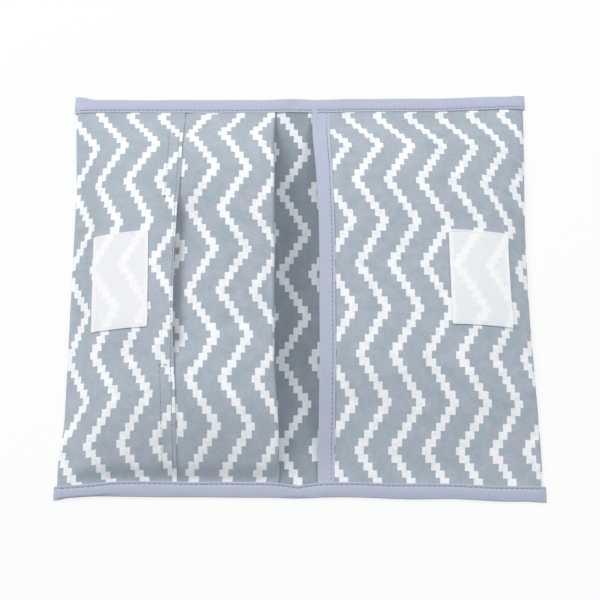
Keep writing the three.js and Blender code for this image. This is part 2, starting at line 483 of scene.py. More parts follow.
@dataclass(frozen=True)
class Finish:
    """What every finish of the pouch has: a name, a base colour and how it takes light."""

    name: str
    colour: Colour
    roughness: float = 0.7
    sheen: float = 0.1
    specular: float = 0.3
    mottle: float = 0.06
    thread: float = 0.4 * MM
    relief: float = 0.25
    # Emission strength: a painted glow that stands in for light, 0 for finishes that do not glow
    painted_glow: float = 0.0

    def material(self, shaders: ClothShaders) -> Material:
        """Builds the finish.

        Args:
            shaders: effects shared by the finishes.

        Returns:
            The new material.
        """
        made = bpy.data.materials.new(self.name)
        nodes = Nodes.emptied(made)
        place = nodes.add("ShaderNodeTexCoord").outputs
        weave = nodes.shared(shaders.weave, Place=place["UV"], Thread=self.thread)
        tone = nodes.shared(shaders.mottle, Place=place["Object"], Amount=self.mottle)
        dyed = self._colour(nodes, shaders, place["UV"], tone["Cloud"])
        height = self._height(nodes, place["UV"], weave["Height"])
        bump = nodes.add("ShaderNodeBump", {"Strength": self.relief, "Distance": 0.3 * MM, "Height": height})
        # The emission below is a painted glow, not light from a lamp.
        skin = nodes.add("ShaderNodeBsdfPrincipled", {
            "Base Color": nodes.mix(1.0, dyed, tone["Tone"], "MULTIPLY"), "Normal": bump.outputs[0],
            "Roughness": self.roughness, "Specular IOR Level": self.specular,
            "Sheen Weight": self.sheen, "Sheen Roughness": 0.5,
            "Emission Color": self.colour, "Emission Strength": self.painted_glow})
        nodes.add("ShaderNodeOutputMaterial", {"Surface": skin.outputs[0]})
        return made

    def _colour(self, nodes: Nodes, shaders: ClothShaders, place: Socket, cloud: Socket) -> Value:
        """Colour before mottling: one colour unless a finish says otherwise."""
        return self.colour

    def _height(self, nodes: Nodes, place: Socket, weave: Socket) -> Socket:
        """Relief of the surface: the weave alone unless a finish says otherwise."""
        return weave


@dataclass(frozen=True)
class Printed(Finish):
    """A finish that carries the zigzag print, on a ground that drifts between two close colours."""

    stripe: Colour = WHITE
    second: Colour = WHITE
    ragged: float = 1.1 * MM

    def _colour(self, nodes: Nodes, shaders: ClothShaders, place: Socket, cloud: Socket) -> Value:
        """Stripes over the ground colour."""
        stripe = nodes.shared(shaders.zigzag, Place=place, Wobble=self.ragged)["Stripe"]
        return nodes.mix(stripe, nodes.mix(cloud, self.colour, self.second), self.stripe)


@dataclass(frozen=True)
class PatchTape(Printed):
    """A patch that lets the print show through faintly, with a plain selvedge where it is sewn down."""

    selvedge: Colour = WHITE
    ragged: float = 6.0 * MM

    def _colour(self, nodes: Nodes, shaders: ClothShaders, place: Socket, cloud: Socket) -> Value:
        """Faint stripes inside the selvedge."""
        mask = nodes.add("ShaderNodeAttribute", attribute_name="selvedge").outputs["Fac"]
        return nodes.mix(mask, super()._colour(nodes, shaders, place, cloud), self.selvedge)


@dataclass(frozen=True)
class RibbedTape(PatchTape):
    """Hook tape: a milky plastic with fine ribs across it."""

    rib: float = 1.6 * MM
    rib_relief: float = 0.13

    def _height(self, nodes: Nodes, place: Socket, weave: Socket) -> Socket:
        """Ribs, with the weave of the backing faint under them."""
        turns = nodes.math("MULTIPLY", nodes.flat(place)[1], 2.0 * math.pi / self.rib)
        return nodes.math("MULTIPLY_ADD", nodes.math("SINE", turns), self.rib_relief, weave)


@dataclass
class Finishes:
    """Every material of the pouch, built from its finish."""

    shaders: ClothShaders

    def __post_init__(self) -> None:
        """Builds the materials."""
        self.cloth = self._made(Printed(
            "printed_cloth", srgb(162, 177, 186), 0.62, mottle=0.7,
            second=srgb(171, 177, 189), stripe=srgb(239, 242, 245)))
        # The lining's colours are darker than the outer cloth's: partly the lining's own colour, partly
        # painted shade for the deep valley between the pockets.
        self.lining = self._made(Printed(
            "lining_cloth", srgb(144, 158, 165), 0.66, 0.05, mottle=0.6,
            second=srgb(151, 158, 169), stripe=srgb(231, 235, 239)))
        # The reverse glows faintly: painted light that keeps the shaded insides of the pockets from going
        # black.
        self.back = self._made(Finish(
            "cloth_reverse", srgb(205, 210, 214), 0.5, 0.0, mottle=0.04, painted_glow=0.12))
        self.tape = self._made(Finish(
            "binding_tape", srgb(180, 187, 206), 0.66, mottle=0.16, thread=0.55 * MM, relief=0.4))
        self.loop = self._made(PatchTape(
            "loop_pile", srgb(239, 240, 242), 0.95, 0.3, second=srgb(237, 239, 242),
            stripe=srgb(249, 249, 249), selvedge=srgb(242, 243, 244)))
        self.pile = self._made(Finish("loop_yarn", srgb(244, 244, 246), 0.95, 0.3))
        self.hook = self._made(RibbedTape(
            "hook_tape", srgb(236, 242, 244), 0.5, 0.0, 0.35, second=srgb(237, 241, 245),
            stripe=srgb(252, 253, 252), selvedge=srgb(247, 248, 250)))
        self.hooks = self._made(Finish("hook_plastic", srgb(246, 248, 250), 0.45, 0.0, 0.4))
        self.tape_thread = self._made(Finish("tape_thread", srgb(108, 114, 140), thread=0.2 * MM))
        self.cloth_thread = self._made(Finish("cloth_thread", srgb(128, 139, 151), thread=0.2 * MM))
        self.patch_thread = self._made(Finish("patch_thread", srgb(236, 238, 241), thread=0.2 * MM))

    def _made(self, finish: Finish) -> Material:
        """The material of one finish."""
        return finish.material(self.shaders)


@dataclass(frozen=True)
class Plan:
    """Where the seams, folds and crowns of the pouch lie, with lengths in metres.

    What has no default here is taken from the frame.
    """

    side: float
    edge: float
    fold: float
    hinge: float
    slit: float
    wipes_edge: float
    wipes_crown: float
    mouth: float
    mouth_tape: float
    diaper_crown: float
    binding: float
    layer: float = 1.0 * MM
    cloth: float = 0.7 * MM
    wipes_top_ramp: float = 72 * MM
    wipes_bottom_ramp: float = 56 * MM
    wipes_fold_fall: float = 2.0 * MM
    wipes_dent: float = 2.2 * MM
    slit_length: float = 115 * MM
    slit_taper: float = 18 * MM
    slit_gape: float = 5.5 * MM
    lip_fade: float = 24 * MM
    diaper_top_ramp: float = 64 * MM
    diaper_bottom_ramp: float = 127 * MM
    diaper_side_power: float = 2.3
    tape_width: float = 9.7 * MM
    binding_gap: float = 0.3 * MM
    tuck_share: float = 0.57
    top_ease: float = 1.8 * MM
    least_waist: float = 0.8 * MM
    left_waist: float = 2.5 * MM
    right_waist: float = 2.9 * MM
    press_from: float = 128 * MM
    press_reach: float = 28 * MM
    press_spared: float = 20 * MM
    right_press: float = 0.45
    pressed: float = 0.5
    unpressed: float = 0.28 * MM
    hem_bow: Curve = Curve(-0.6, ((1.9, 0, 125), (3.0, -20, -105)))
    wipes_edge_bow: Curve = Curve(-0.3, ((3.4, -30, -95), (-0.8, 10, 110)))
    mouth_bow: Curve = Curve(0.0, ((-2.9, 20, 105), (-1.4, -40, -90)))
    top_draw: Curve = Curve(-1.6, ((1.0, 10, 25), (1.8, 80, 60)), ((1.0, -5, 14),))
    bottom_draw: Curve = Curve(-0.1, ((1.1, 25, 50), (2.6, -106, -44), (1.6, 88, 45)),
                               ((-0.3, -100, 30), (0.9, -1, 14)))

    @classmethod
    def from_frame(cls, frame: dict) -> "Plan":
        """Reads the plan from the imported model.


        Returns:
            The plan.
        """
        cloth, layer = cls.cloth, cls.layer
        flap_low, flap_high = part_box("wipes_flap")
        mouth_low, mouth_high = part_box("mouth_binding")
        tape_low, tape_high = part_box("top_binding_left")
        front_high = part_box("diaper_pocket_front")[1]
        fold = next(joint for joint in frame["joints"] if joint["name"] == "spine_fold")["pos_m"]
        return cls(
            side=-flap_low.x - cloth / 2, edge=tape_high.y, fold=fold[0], hinge=fold[2],
            slit=flap_high.x, wipes_edge=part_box("wipes_inner_panel")[1].x,
            wipes_crown=flap_high.z - 4 * layer - cloth, mouth=mouth_low.x,
            mouth_tape=mouth_high.x - mouth_low.x, diaper_crown=front_high.z - 3 * layer - cloth,
            binding=tape_high.y - tape_low.y)

    @property
    def pocket_end(self) -> float:
        """Distance from the middle to where the pockets go under the binding."""
        return self.edge - self.binding - self.binding_gap

    @property
    def tuck_end(self) -> float:
        """Distance from the middle to the cut ends of the cloth inside the binding."""
        return self.pocket_end + self.tuck_share * self.tape_width

    def inside(self, y: Array) -> Array:
        """Distance from the nearer binding, below 0 under it."""
        return self.pocket_end - np.abs(y)

    def level(self, number: int) -> float:
        """Height of the middle of one of the layers inside the binding."""
        return number * self.layer + self.cloth / 2

    def turn(self, number: int) -> float:
        """Radius of the turn that takes a layer round the side of the pouch."""
        return self.level(number) - self.layer

    def side_turn(self, x: Array, number: int) -> Array:
        """Height of a layer that is turned up round the nearer side of the pouch."""
        turn = self.turn(number)
        return self.layer + turn * quarter_round((self.side - np.abs(x)) / turn)

    def bound_level(self, number: int, y: Array) -> Array:
        """Height of a flat layer, which steps up by one as it goes into the binding."""
        return self.level(number - 1) + self.layer * rise(-self.inside(y), -2.7, 2.7)

    def wipes_rise(self, x: Array, y: Array) -> Array:
        """Shapes the crown of the wipes pocket.

        Args:
            x: where, in metres.
            y: where, in metres.

        Returns:
            Height above the layer that each of its panels starts from.
        """
        across = self.wipes_crown * ease((x + self.side) / (self.side + self.slit))
        past_slit = clamp01((x - self.slit) / (self.wipes_edge - self.slit))
        crown = across - self.wipes_fold_fall * past_slit ** 4
        length = np.where(y > 0, self.wipes_top_ramp, self.wipes_bottom_ramp)
        return crown * ease(self.inside(y) / length) - self.wipes_dent * bell(x, -113, 26) * bell(y, -54, 13)

    def gape(self, x: Array, y: Array) -> Array:
        """How far the inner panel drops below the flap at the slit."""
        along = smooth((self.slit_length / 2 - np.abs(y)) / self.slit_taper)
        return self.slit_gape * along * (1.0 - smooth((x - self.slit) / self.lip_fade))

    def diaper_rise(self, x: Array, y: Array) -> Array:
        """Shapes the crown of the diaper pocket.

        Args:
            x: where, in metres.
            y: where, in metres.

        Returns:
            Height above the pocket's layer.
        """
        across = clamp01((self.side - x) / (self.side - self.mouth))
        power = self.diaper_side_power
        side = (1.0 - (1.0 - across) ** power) ** (1.0 / power)
        inside = self.inside(y)
        top = ease(inside / self.diaper_top_ramp) + rise(inside, 0, 84)
        bottom = smooth(inside / self.diaper_bottom_ramp) + rise(inside, 10, 66)
        return self.diaper_crown * side * 0.5 * np.where(y > 0, top, bottom)

    def hem_x(self, y: Array) -> Array:
        """Free edge of the flap, which bows a little along the slit."""
        return self.slit + self.hem_bow.at(y) + 0.25 * MM * ripple(y, 45 * MM, 3)

    def wipes_edge_x(self, y: Array) -> Array:
        """Soft fold of the wipes pocket beside the spine."""
        return self.wipes_edge + self.wipes_edge_bow.at(y) + 0.3 * MM * ripple(y, 60 * MM, 5)

    def mouth_x(self, y: Array) -> Array:
        """Bound edge of the diaper pocket's mouth."""
        return self.mouth + self.mouth_bow.at(y) + 0.25 * MM * ripple(y, 70 * MM, 8)

    def pulled(self, points: Array) -> Array:
        """Finds where points of the flat cut pouch lie once thread and tape have drawn it in.

        Args:
            points: points before sewing, in metres, with x, y and z on the last axis.

        Returns:
            The points after sewing.
        """
        x, y, z = points[..., 0], points[..., 1], points[..., 2]
        left = self.least_waist + self.left_waist * rise(y, -118, 30) * rise(y, 128, -70)
        right = self.least_waist + self.right_waist * rise(y, -125, 125) * rise(y, 135, -110)
        waist = left * rise(x, -85, -65) - right * rise(x, 85, 65)
        draw = np.where(y > 0, self.top_draw.at(x), self.bottom_draw.at(x))
        hem = draw * np.sign(y) * rise(np.abs(y), 92, 36)
        reach = self.press_reach - self.press_spared * rise(x, 5, -25) * (y < 0)
        ends = smooth((np.abs(y) - self.press_from + reach) / reach)
        sides = np.maximum(rise(x, -130, -17), self.right_press * rise(x, 110, 37))
        above = np.maximum(z - self.unpressed, 0.0) * (1.0 - self.pressed * np.maximum(ends, sides))
        return np.stack([x + waist, y + hem, np.minimum(z, self.unpressed) + above], axis=-1)

    @staticmethod
    def skewed(y: Array) -> Array:
        """How far the cloth is pushed sideways under the top seam, as a share of the most."""
        return rise(y, 101, 23)

    def eased(self, y: Array) -> Array:
        """Spare cloth that is eased into the top seam, counted up to each row."""
        return self.top_ease * rise(y, 50, 75)

    def side_foot(self, line: Array, sign: int) -> Array:
        """Carries a pocket front round a side fold to the level of the back cover.

        Args:
            line: the front's last line of points, at the side of the pouch.
            sign: which side, along x.

        Returns:
            The lines from the front outwards.
        """
        radius = (self.layer - self.cloth / 2) * rise(self.inside(line[:, 1]), 0, 4)
        angles = np.linspace(0.0, 0.5 * np.pi, 4)[1:]
        return np.stack([moved(line, -sign * radius * (1.0 - np.cos(a)), radius * np.sin(a)) for a in angles])


@dataclass
class ClothGrid:
    """A grid of points over a piece of cloth, with the place of each on the cloth's print.

    Its face is the columns that look up, from low to high x, where other pieces are sewn on.
    """

    points: Array
    place: Array
    face: Optional[slice] = None

    @classmethod
    def laid(cls, points: Array, origin: tuple[int, int] = (0, 0), offset: Pair = (0.0, 0.0),
             stretch: float = 1.0) -> "ClothGrid":
        """Measures the print along the cloth itself.

        Args:
            points: columns by rows of points, in metres.
            origin: column and row that the print is measured from.
            offset: place of the print's own origin, from there.
            stretch: how much longer the cloth is pulled along y than it was printed.

        Returns:
            The grid with its print.
        """
        u, v = path_lengths(points, 0), path_lengths(points, 1)
        u = u - u[[origin[0]], :] - offset[0]
        v = (v - v[:, [origin[1]]]) / stretch - offset[1]
        return cls(points, np.stack([u, v], axis=2))

    def span(self, x: Array, y: Array) -> tuple[Array, Array]:
        """Finds heights and print places on the face.

        Args:
            x: where, in metres.
            y: where, in metres.

        Returns:
            The heights and the print places there.
        """
        points, place = self.points[self.face], self.place[self.face]
        rows = points[0, :, 1]
        flat_x, flat_y = np.ravel(x), np.ravel(y)
        upper = np.clip(np.searchsorted(rows, flat_y), 1, len(rows) - 1)
        share = (flat_y - rows[upper - 1]) / (rows[upper] - rows[upper - 1])
        found = np.zeros((len(flat_x), 3))
        for i, (at, row, part) in enumerate(zip(flat_x, upper, share)):
            for line, weight in ((row - 1, 1.0 - part), (row, part)):
                known = points[:, line, 0]
                for k, values in enumerate((points[:, line, 2], place[:, line, 0], place[:, line, 1])):
                    found[i, k] += weight * np.interp(at, known, values)
        return found[:, 0].reshape(np.shape(x)), found[:, 1:].reshape(np.shape(x) + (2,))

    def height(self, x: Array, y: Array) -> Array:
        """Height of the face."""
        return self.span(x, y)[0]

    def cut_size(self) -> Pair:
        """Measures what the cloth was cut to.

        Returns:
            Its width and length.
        """
        width = float(path_lengths(self.points, 0)[-1].mean())
        length = float(path_lengths(self.points, 1)[:, -1].mean())
        return round(width, 4), round(length, 4)


@dataclass
class Workshop:
    """Makes finished meshes and ties them to the frame."""

    plan: Plan
    finishes: Finishes
    crease: float = math.radians(55.0)
    bend_reach: float = 5.5 * MM

    def grid_mesh(self, name: str, grid: ClothGrid, flip: bool = False) -> Piece:
        """Spreads a plain sheet of faces over a grid of points.

        Args:
            name: name of the new object.
            grid: points and print places, by column and row.
            flip: turns the faces over.

        Returns:
            The new object, linked to the scene.
        """
        columns, rows = grid.points.shape[:2]
        index = np.arange(columns * rows).reshape(columns, rows)
        corners = [index[:-1, :-1], index[1:, :-1], index[1:, 1:], index[:-1, 1:]]
        faces = np.stack(corners[::-1] if flip else corners, axis=2).reshape(-1, 4)
        mesh = bpy.data.meshes.new(name)
        mesh.from_pydata(grid.points.reshape(-1, 3).tolist(), [], faces.tolist())
        layer = mesh.uv_layers.new(name="print")
        layer.data.foreach_set("uv", grid.place.reshape(-1, 2)[faces.ravel()].ravel())
        mesh.polygons.foreach_set("use_smooth", [True] * len(mesh.polygons))
        return placed(name, mesh)

    def apply(self, made: Piece) -> Piece:
        """Turns an object with modifiers into its finished plain mesh.

        Args:
            made: the object.

        Returns:
            The same object.
        """
        graph = bpy.context.evaluated_depsgraph_get()
        mesh = bpy.data.meshes.new_from_object(made.evaluated_get(graph))
        old = made.data
        made.modifiers.clear()
        made.data = mesh
        mesh.name = made.name
        bpy.data.meshes.remove(old)
        return made

    def sheet(self, name: str, grid: ClothGrid, outside: Material, inside: Material, thickness: float,
              flip: bool = False, marks: Optional[dict[str, Array]] = None) -> Piece:
        """Makes a sheet of cloth with thickness and a finish on each face.

        Args:
            name: name of the piece.
            grid: middle of the cloth.
            outside: finish of the face that the grid's own faces look to.
            inside: finish of the other face and of the cut edge.
            thickness: thickness of the cloth.
            flip: turns the outside over.
            marks: named values for each point, for the finishes.

        Returns:
            The finished piece.
        """
        made = self.grid_mesh(name, ClothGrid(self.plan.pulled(grid.points), grid.place), flip)
        made.data.materials.append(outside)
        made.data.materials.append(inside)
        for key, values in (marks or {}).items():
            mark = made.data.attributes.new(key, "FLOAT", "POINT")
            mark.data.foreach_set("value", values.astype(np.float32).ravel())
        rounder = made.modifiers.new("rounder", "SUBSURF")
        rounder.levels = rounder.render_levels = 1
        wall = made.modifiers.new("wall", "SOLIDIFY")
        wall.thickness, wall.offset = thickness, 0.0
        wall.material_offset = 1
        wall.use_quality_normals = True
        self.apply(made)
        made.data.set_sharp_from_angle(angle=self.crease)
        return made

    def settle(self, points: Array, held: Array, puff: float, slack: float, lift: float, sag: float) -> Array:
        """Lets cloth that is held along its seams find its own soft folds.

        Args:
            points: columns by rows of points of the cloth before it settles.
            held: how firmly each point is held, from 0 to 1.
            puff: pressure from inside the pocket.
            slack: spare cloth, as a share of its size.
            lift: most that a point may rise.
            sag: most that a point may sink.
        """
        scale, frames, slide = 10.0, 22, 1.2 * MM
        cloth = self.grid_mesh("settling", ClothGrid(points * scale, np.zeros(points.shape[:2] + (2,))))
        group = cloth.vertex_groups.new(name="held")
        for number, weight in enumerate(held.ravel()):
            group.add([number], float(weight), "REPLACE")
        settings = cloth.modifiers.new("settle", "CLOTH").settings
        settings.quality, settings.mass, settings.air_damping = 7, 0.25, 4.0
        settings.tension_stiffness = settings.compression_stiffness = 18.0
        settings.shear_stiffness, settings.bending_stiffness = 9.0, 2.2
        settings.vertex_group_mass, settings.pin_stiffness = "held", 1.0
        settings.shrink_min = -slack
        settings.use_pressure, settings.uniform_pressure_force = True, puff
        settings.effector_weights.gravity = 0.0
        for frame in range(1, frames + 1):
            bpy.context.scene.frame_set(frame)
        graph = bpy.context.evaluated_depsgraph_get()
        rested = np.empty(points.size, np.float32)
        cloth.evaluated_get(graph).data.vertices.foreach_get("co", rested)
        bpy.context.scene.frame_set(1)
        mesh = cloth.data
        bpy.data.objects.remove(cloth)
        bpy.data.meshes.remove(mesh)
        shift = rested.reshape(points.shape) / scale - points
        limit = np.where(shift[..., 2] > 0, lift, sag)
        shift[..., 2] = limit * np.tanh(shift[..., 2] / limit)
        shift[..., :2] = slide * np.tanh(shift[..., :2] / slide)
        LOG.info("settled: rises %.2f mm, sinks %.2f mm", shift[..., 2].max() / MM, -shift[..., 2].min() / MM)
        return points + shift * (1.0 - held)[..., None]

    def _stand_for(self, slot: str, nodes: tuple[str, ...]) -> None:
        """Hides the nodes that a piece stands for.

        Args:
            slot: its slot; not used.
            nodes: the nodes, none for thread and pile.
        """
        if nodes:
            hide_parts(*nodes)

    def ride(self, piece: Piece, body: str, slot: str, *nodes: str) -> None:
        """Ties a piece to one body, and hides the nodes it stands for.

        Args:
            piece: the piece.
            body: the body.
            slot: the slot that the piece fills; not used.
            nodes: the nodes.
        """
        self._stand_for(slot, nodes)
        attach(piece, body)
        LOG.info("%s rides on %s", piece.name, body)

    def bend(self, piece: Piece, half: Half, slot: str, *nodes: str) -> None:
        """Hides the nodes a piece stands for and bakes its placement into its mesh, without setting up a bend
        at the fold.

        Args:
            piece: the piece.
            half: the half.
            slot: the slot that the piece fills; not used.
            nodes: the nodes it stands for.
        """
        self._stand_for(slot, nodes)
        start = (half.sign * (self.plan.fold + self.bend_reach), 0.0, self.plan.hinge)
        end = (half.sign * (self.plan.fold - self.bend_reach), 0.0, self.plan.hinge)
        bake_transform(piece)
        LOG.info("%s bends between %s and spine", piece.name, half.body)


@dataclass
class SewingRoom(Workshop):
    """A workshop with Geometry Nodes trees for thread, pile and hooks."""

    stitch_sway: float = 0.09

    def __post_init__(self) -> None:
        """Builds the trees once."""
        self.stitch_tree = self._stitches()
        self.curl_tree = self._curls()

    @staticmethod
    def _tree(name: str, **sizes: float) -> Nodes:
        """Starts a tree that takes a Geometry, a Material and some sizes.

        Args:
            name: name of the tree.
            sizes: usual value of each named size.

        Returns:
            The empty tree.
        """
        inputs = {"Geometry": ("NodeSocketGeometry", None), "Material": ("NodeSocketMaterial", None)}
        inputs.update({size: ("NodeSocketFloat", usual) for size, usual in sizes.items()})
        return Nodes.group(name, "GeometryNodeTree", inputs, {"Geometry": "NodeSocketGeometry"})

    @staticmethod
    def _finish(nodes: Nodes, copies: Node) -> Tree:
        """Ends a tree: real mesh, smooth, in its material.

        Args:
            nodes: the tree.
            copies: the node that places the copies.

        Returns:
            The finished tree.
        """
        real = nodes.add("GeometryNodeRealizeInstances", {0: copies.outputs[0]})
        soft = nodes.add("GeometryNodeSetShadeSmooth", {0: real.outputs[0]})
        done = nodes.add("GeometryNodeSetMaterial", {0: soft.outputs[0], "Material": nodes.ask("Material")})
        nodes.give("Geometry", done.outputs[0])
        return nodes.tree

    @staticmethod
    def _upright(nodes: Nodes, pivot: str, **rotation: Socket) -> Socket:
        """Builds a rotation whose z follows the stored normal of the cloth.

        Args:
            nodes: the tree.
            pivot: axis that it turns about.
            rotation: the rotation to start from, as Rotation, if there is one.

        Returns:
            The rotation.
        """
        lay = nodes.add("GeometryNodeInputNamedAttribute", {"Name": "lay"}, data_type="FLOAT_VECTOR")
        inputs = {"Vector": lay.outputs[0], **rotation}
        return nodes.add("FunctionNodeAlignRotationToVector", inputs, axis="Z", pivot_axis=pivot).outputs[0]

    @staticmethod
    def _sway(nodes: Nodes, seed: int, least: Value, most: Value, rotation: Socket) -> Socket:
        """Turns each copy a little about its own z.

        Args:
            nodes: the tree.
            seed: picks the turns.
            least: lowest turn, in radians.
            most: highest turn, in radians.
            rotation: rotation before the turn.

        Returns:
            Rotation after it.
        """
        some = nodes.add("FunctionNodeRandomValue", {2: least, 3: most, "Seed": seed}, data_type="FLOAT")
        spin = nodes.add("ShaderNodeCombineXYZ", {2: some.outputs[1]})
        euler = nodes.add("FunctionNodeEulerToRotation", {0: spin.outputs[0]})
        inputs = {"Rotation": rotation, "Rotate By": euler.outputs[0]}
        return nodes.add("FunctionNodeRotateRotation", inputs, rotation_space="LOCAL").outputs[0]

    def _stitches(self) -> Tree:
        """Builds the tree that lays stitches end to end along a seam line.

        Returns:
            The tree.
        """
        nodes = self._tree("stitch_run", Pitch=3.1 * MM, Length=2.8 * MM, Width=0.5 * MM)
        line = nodes.add("GeometryNodeMeshToCurve", {0: nodes.ask("Geometry")})
        inputs = {0: line.outputs[0], "Length": nodes.ask("Pitch")}
        even = nodes.add("GeometryNodeResampleCurve", inputs, mode="LENGTH")
        tangent = nodes.add("GeometryNodeInputTangent")
        along = nodes.add("FunctionNodeAlignRotationToVector", {"Vector": tangent.outputs[0]}, axis="X")
        upright = self._upright(nodes, "X", Rotation=along.outputs[0])
        turned = self._sway(nodes, 11, -self.stitch_sway, self.stitch_sway, upright)
        bead = nodes.add("GeometryNodeMeshUVSphere", {"Segments": 6, "Rings": 5, "Radius": 0.5})
        flat = nodes.math("MULTIPLY", nodes.ask("Width"), 0.8)
        size = nodes.add("ShaderNodeCombineXYZ", {0: nodes.ask("Length"), 1: nodes.ask("Width"), 2: flat})
        return self._finish(nodes, nodes.add("GeometryNodeInstanceOnPoints", {
            "Points": even.outputs[0], "Instance": bead.outputs[0], "Rotation": turned,
            "Scale": size.outputs[0]}))

    def _curls(self) -> Tree:
        """Builds the tree that stands a small bent thread on each point, for loops and hooks.

        Returns:
            The tree.
        """
        nodes = self._tree("curls", Radius=0.4 * MM, Thread=0.08 * MM, Sweep=3.6, Sway=3.0)
        sizes = {"Resolution": 6, "Radius": nodes.ask("Radius"), "Sweep Angle": nodes.ask("Sweep")}
        arc = nodes.add("GeometryNodeCurveArc", sizes)
        ring = nodes.add("GeometryNodeCurvePrimitiveCircle", {"Resolution": 3, "Radius": nodes.ask("Thread")})
        wire = nodes.add("GeometryNodeCurveToMesh", {0: arc.outputs[0], 1: ring.outputs[0]})
        upended = {"Geometry": wire.outputs[0], "Rotation": (math.radians(90.0), 0.0, 0.0)}
        stand = nodes.add("GeometryNodeTransform", upended)
        back = nodes.math("MULTIPLY", nodes.ask("Sway"), -1.0)
        turned = self._sway(nodes, 5, back, nodes.ask("Sway"), self._upright(nodes, "AUTO"))
        points = nodes.add("GeometryNodeMeshToPoints", {0: nodes.ask("Geometry")})
        return self._finish(nodes, nodes.add("GeometryNodeInstanceOnPoints", {
            "Points": points.outputs[0], "Instance": stand.outputs[0], "Rotation": turned}))

    def _grow(self, name: str, tree: Tree, seam: Seam, edges: list[tuple[int, int]], material: Material,
              sizes: dict[str, float]) -> Piece:
        """Runs a tree on points and turns the result into a plain mesh.

        Args:
            name: name of the piece.
            tree: the Geometry Nodes tree.
            seam: where it grows, in metres, and the normal of the cloth at each point.
            edges: pairs of points that are joined into seam lines.
            material: finish of the piece.
            sizes: values for the tree's named inputs.

        Returns:
            The finished piece.
        """
        mesh = bpy.data.meshes.new(name)
        mesh.from_pydata(self.plan.pulled(seam[0]).tolist(), edges, [])
        lay = mesh.attributes.new("lay", "FLOAT_VECTOR", "POINT")
        lay.data.foreach_set("vector", seam[1].astype(np.float32).ravel())
        made = placed(name, mesh)
        modifier = made.modifiers.new("grow", "NODES")
        modifier.node_group = tree
        known = {item.name: item.identifier for item in tree.interface.items_tree if item.in_out == "INPUT"}
        modifier[known["Material"]] = material
        for size, value in sizes.items():
            modifier[known[size]] = value
        return self.apply(made)

    def stitch(self, name: str, seams: list[Seam], material: Material, **sizes: float) -> Piece:
        """Sews one or more seam lines.

        Args:
            name: name of the piece.
            seams: points and normals along each seam.
            material: finish of the thread.
            sizes: Pitch, Length and Width of the stitches, where they differ from the usual.

        Returns:
            All the stitches as one piece.
        """
        points = np.concatenate([seam[0] for seam in seams])
        lay = np.concatenate([seam[1] for seam in seams])
        edges, start = [], 0
        for seam, _ in seams:
            edges += [(start + i, start + i + 1) for i in range(len(seam) - 1)]
            start += len(seam)
        return self._grow(name, self.stitch_tree, (points, lay), edges, material, sizes)

    def curls(self, name: str, feet: Seam, material: Material, **sizes: float) -> Piece:
        """Loops or hooks that stand on the points of a tape, as one piece."""
        return self._grow(name, self.curl_tree, feet, [], material, sizes)


@dataclass
class SewnPart:
    """A sub-assembly of the pouch, made in a sewing room."""

    shop: SewingRoom

    @property
    def plan(self) -> Plan:
        """The pouch's plan."""
        return self.shop.plan


@dataclass
class FoldingCloth(SewnPart):
    """Back cover and lining, which cross the spine, where the real pouch bends at both of its folds."""

    thickness: float = 0.36 * MM
    mesh_size: float = 3.0 * MM
    wave: float = 0.12 * MM
    cover_inset: float = 0.6 * MM
    lining_inset: float = 4 * MM
    lining_print: Pair = (1.44 * MM, -22.29 * MM)

    def _points(self, half: Half, reach: float, level: int, seed: int) -> Array:
        """Lays out one half of a flat strip.

        Args:
            half: which half.
            reach: how far the strip reaches from the middle of the spine.
            level: which layer of the binding it lies in.
            seed: picks its waves.

        Returns:
            Columns by rows of points, in x order.
        """
        plan = self.plan
        columns = int(reach / self.mesh_size) + 1
        rows = int(2 * plan.tuck_end / self.mesh_size) + 1
        x = half.sign * np.linspace(0.0, reach, columns)[::half.sign]
        x, y = np.meshgrid(x, np.linspace(-plan.tuck_end, plan.tuck_end, rows), indexing="ij")
        waves = 1.0 + ripple(x + 0.3 * y, 38 * MM, seed) * ripple(y, 70 * MM, seed + 1)
        loose = self.wave * rise(plan.inside(y), 6, 20) * waves
        return np.stack([x, y, plan.bound_level(level, y) + loose], axis=2)

    def build(self, half: Half, outside_print: Array) -> None:
        """Makes the cover and the lining of one half.

        Args:
            half: which half.
            outside_print: print place of the cover at both sides of the pouch and its offset along y.
        """
        plan, shop = self.plan, self.shop
        cloth, lining_cloth, back = shop.finishes.cloth, shop.finishes.lining, shop.finishes.back
        points = self._points(half, plan.side - self.cover_inset, 1, 21)
        at_left, at_right, offset = outside_print
        share = (points[..., 0] + plan.side) / (2.0 * plan.side)
        place = np.stack([at_left + (at_right - at_left) * share, points[..., 1] - offset], axis=2)
        grid = ClothGrid(points, place)
        cover = shop.sheet(f"back_cover_{half.side}_half", grid, cloth, back, self.thickness, flip=True)
        shop.bend(cover, half, "printed_cloth", f"back_cover_{half.side}", "back_cover_spine")
        reach = plan.side - self.lining_inset
        points = self._points(half, reach, 2, 27)
        grid = ClothGrid(points, points[..., :2] - np.array(self.lining_print))
        # The lining's finish carries painted shade for the valley between the pockets, on top of its own
        # darker colour.
        lining = shop.sheet(f"lining_{half.side}_half", grid, lining_cloth, back, self.thickness)
        shop.bend(lining, half, "lining_cloth", f"lining_{half.side}", "lining_spine")


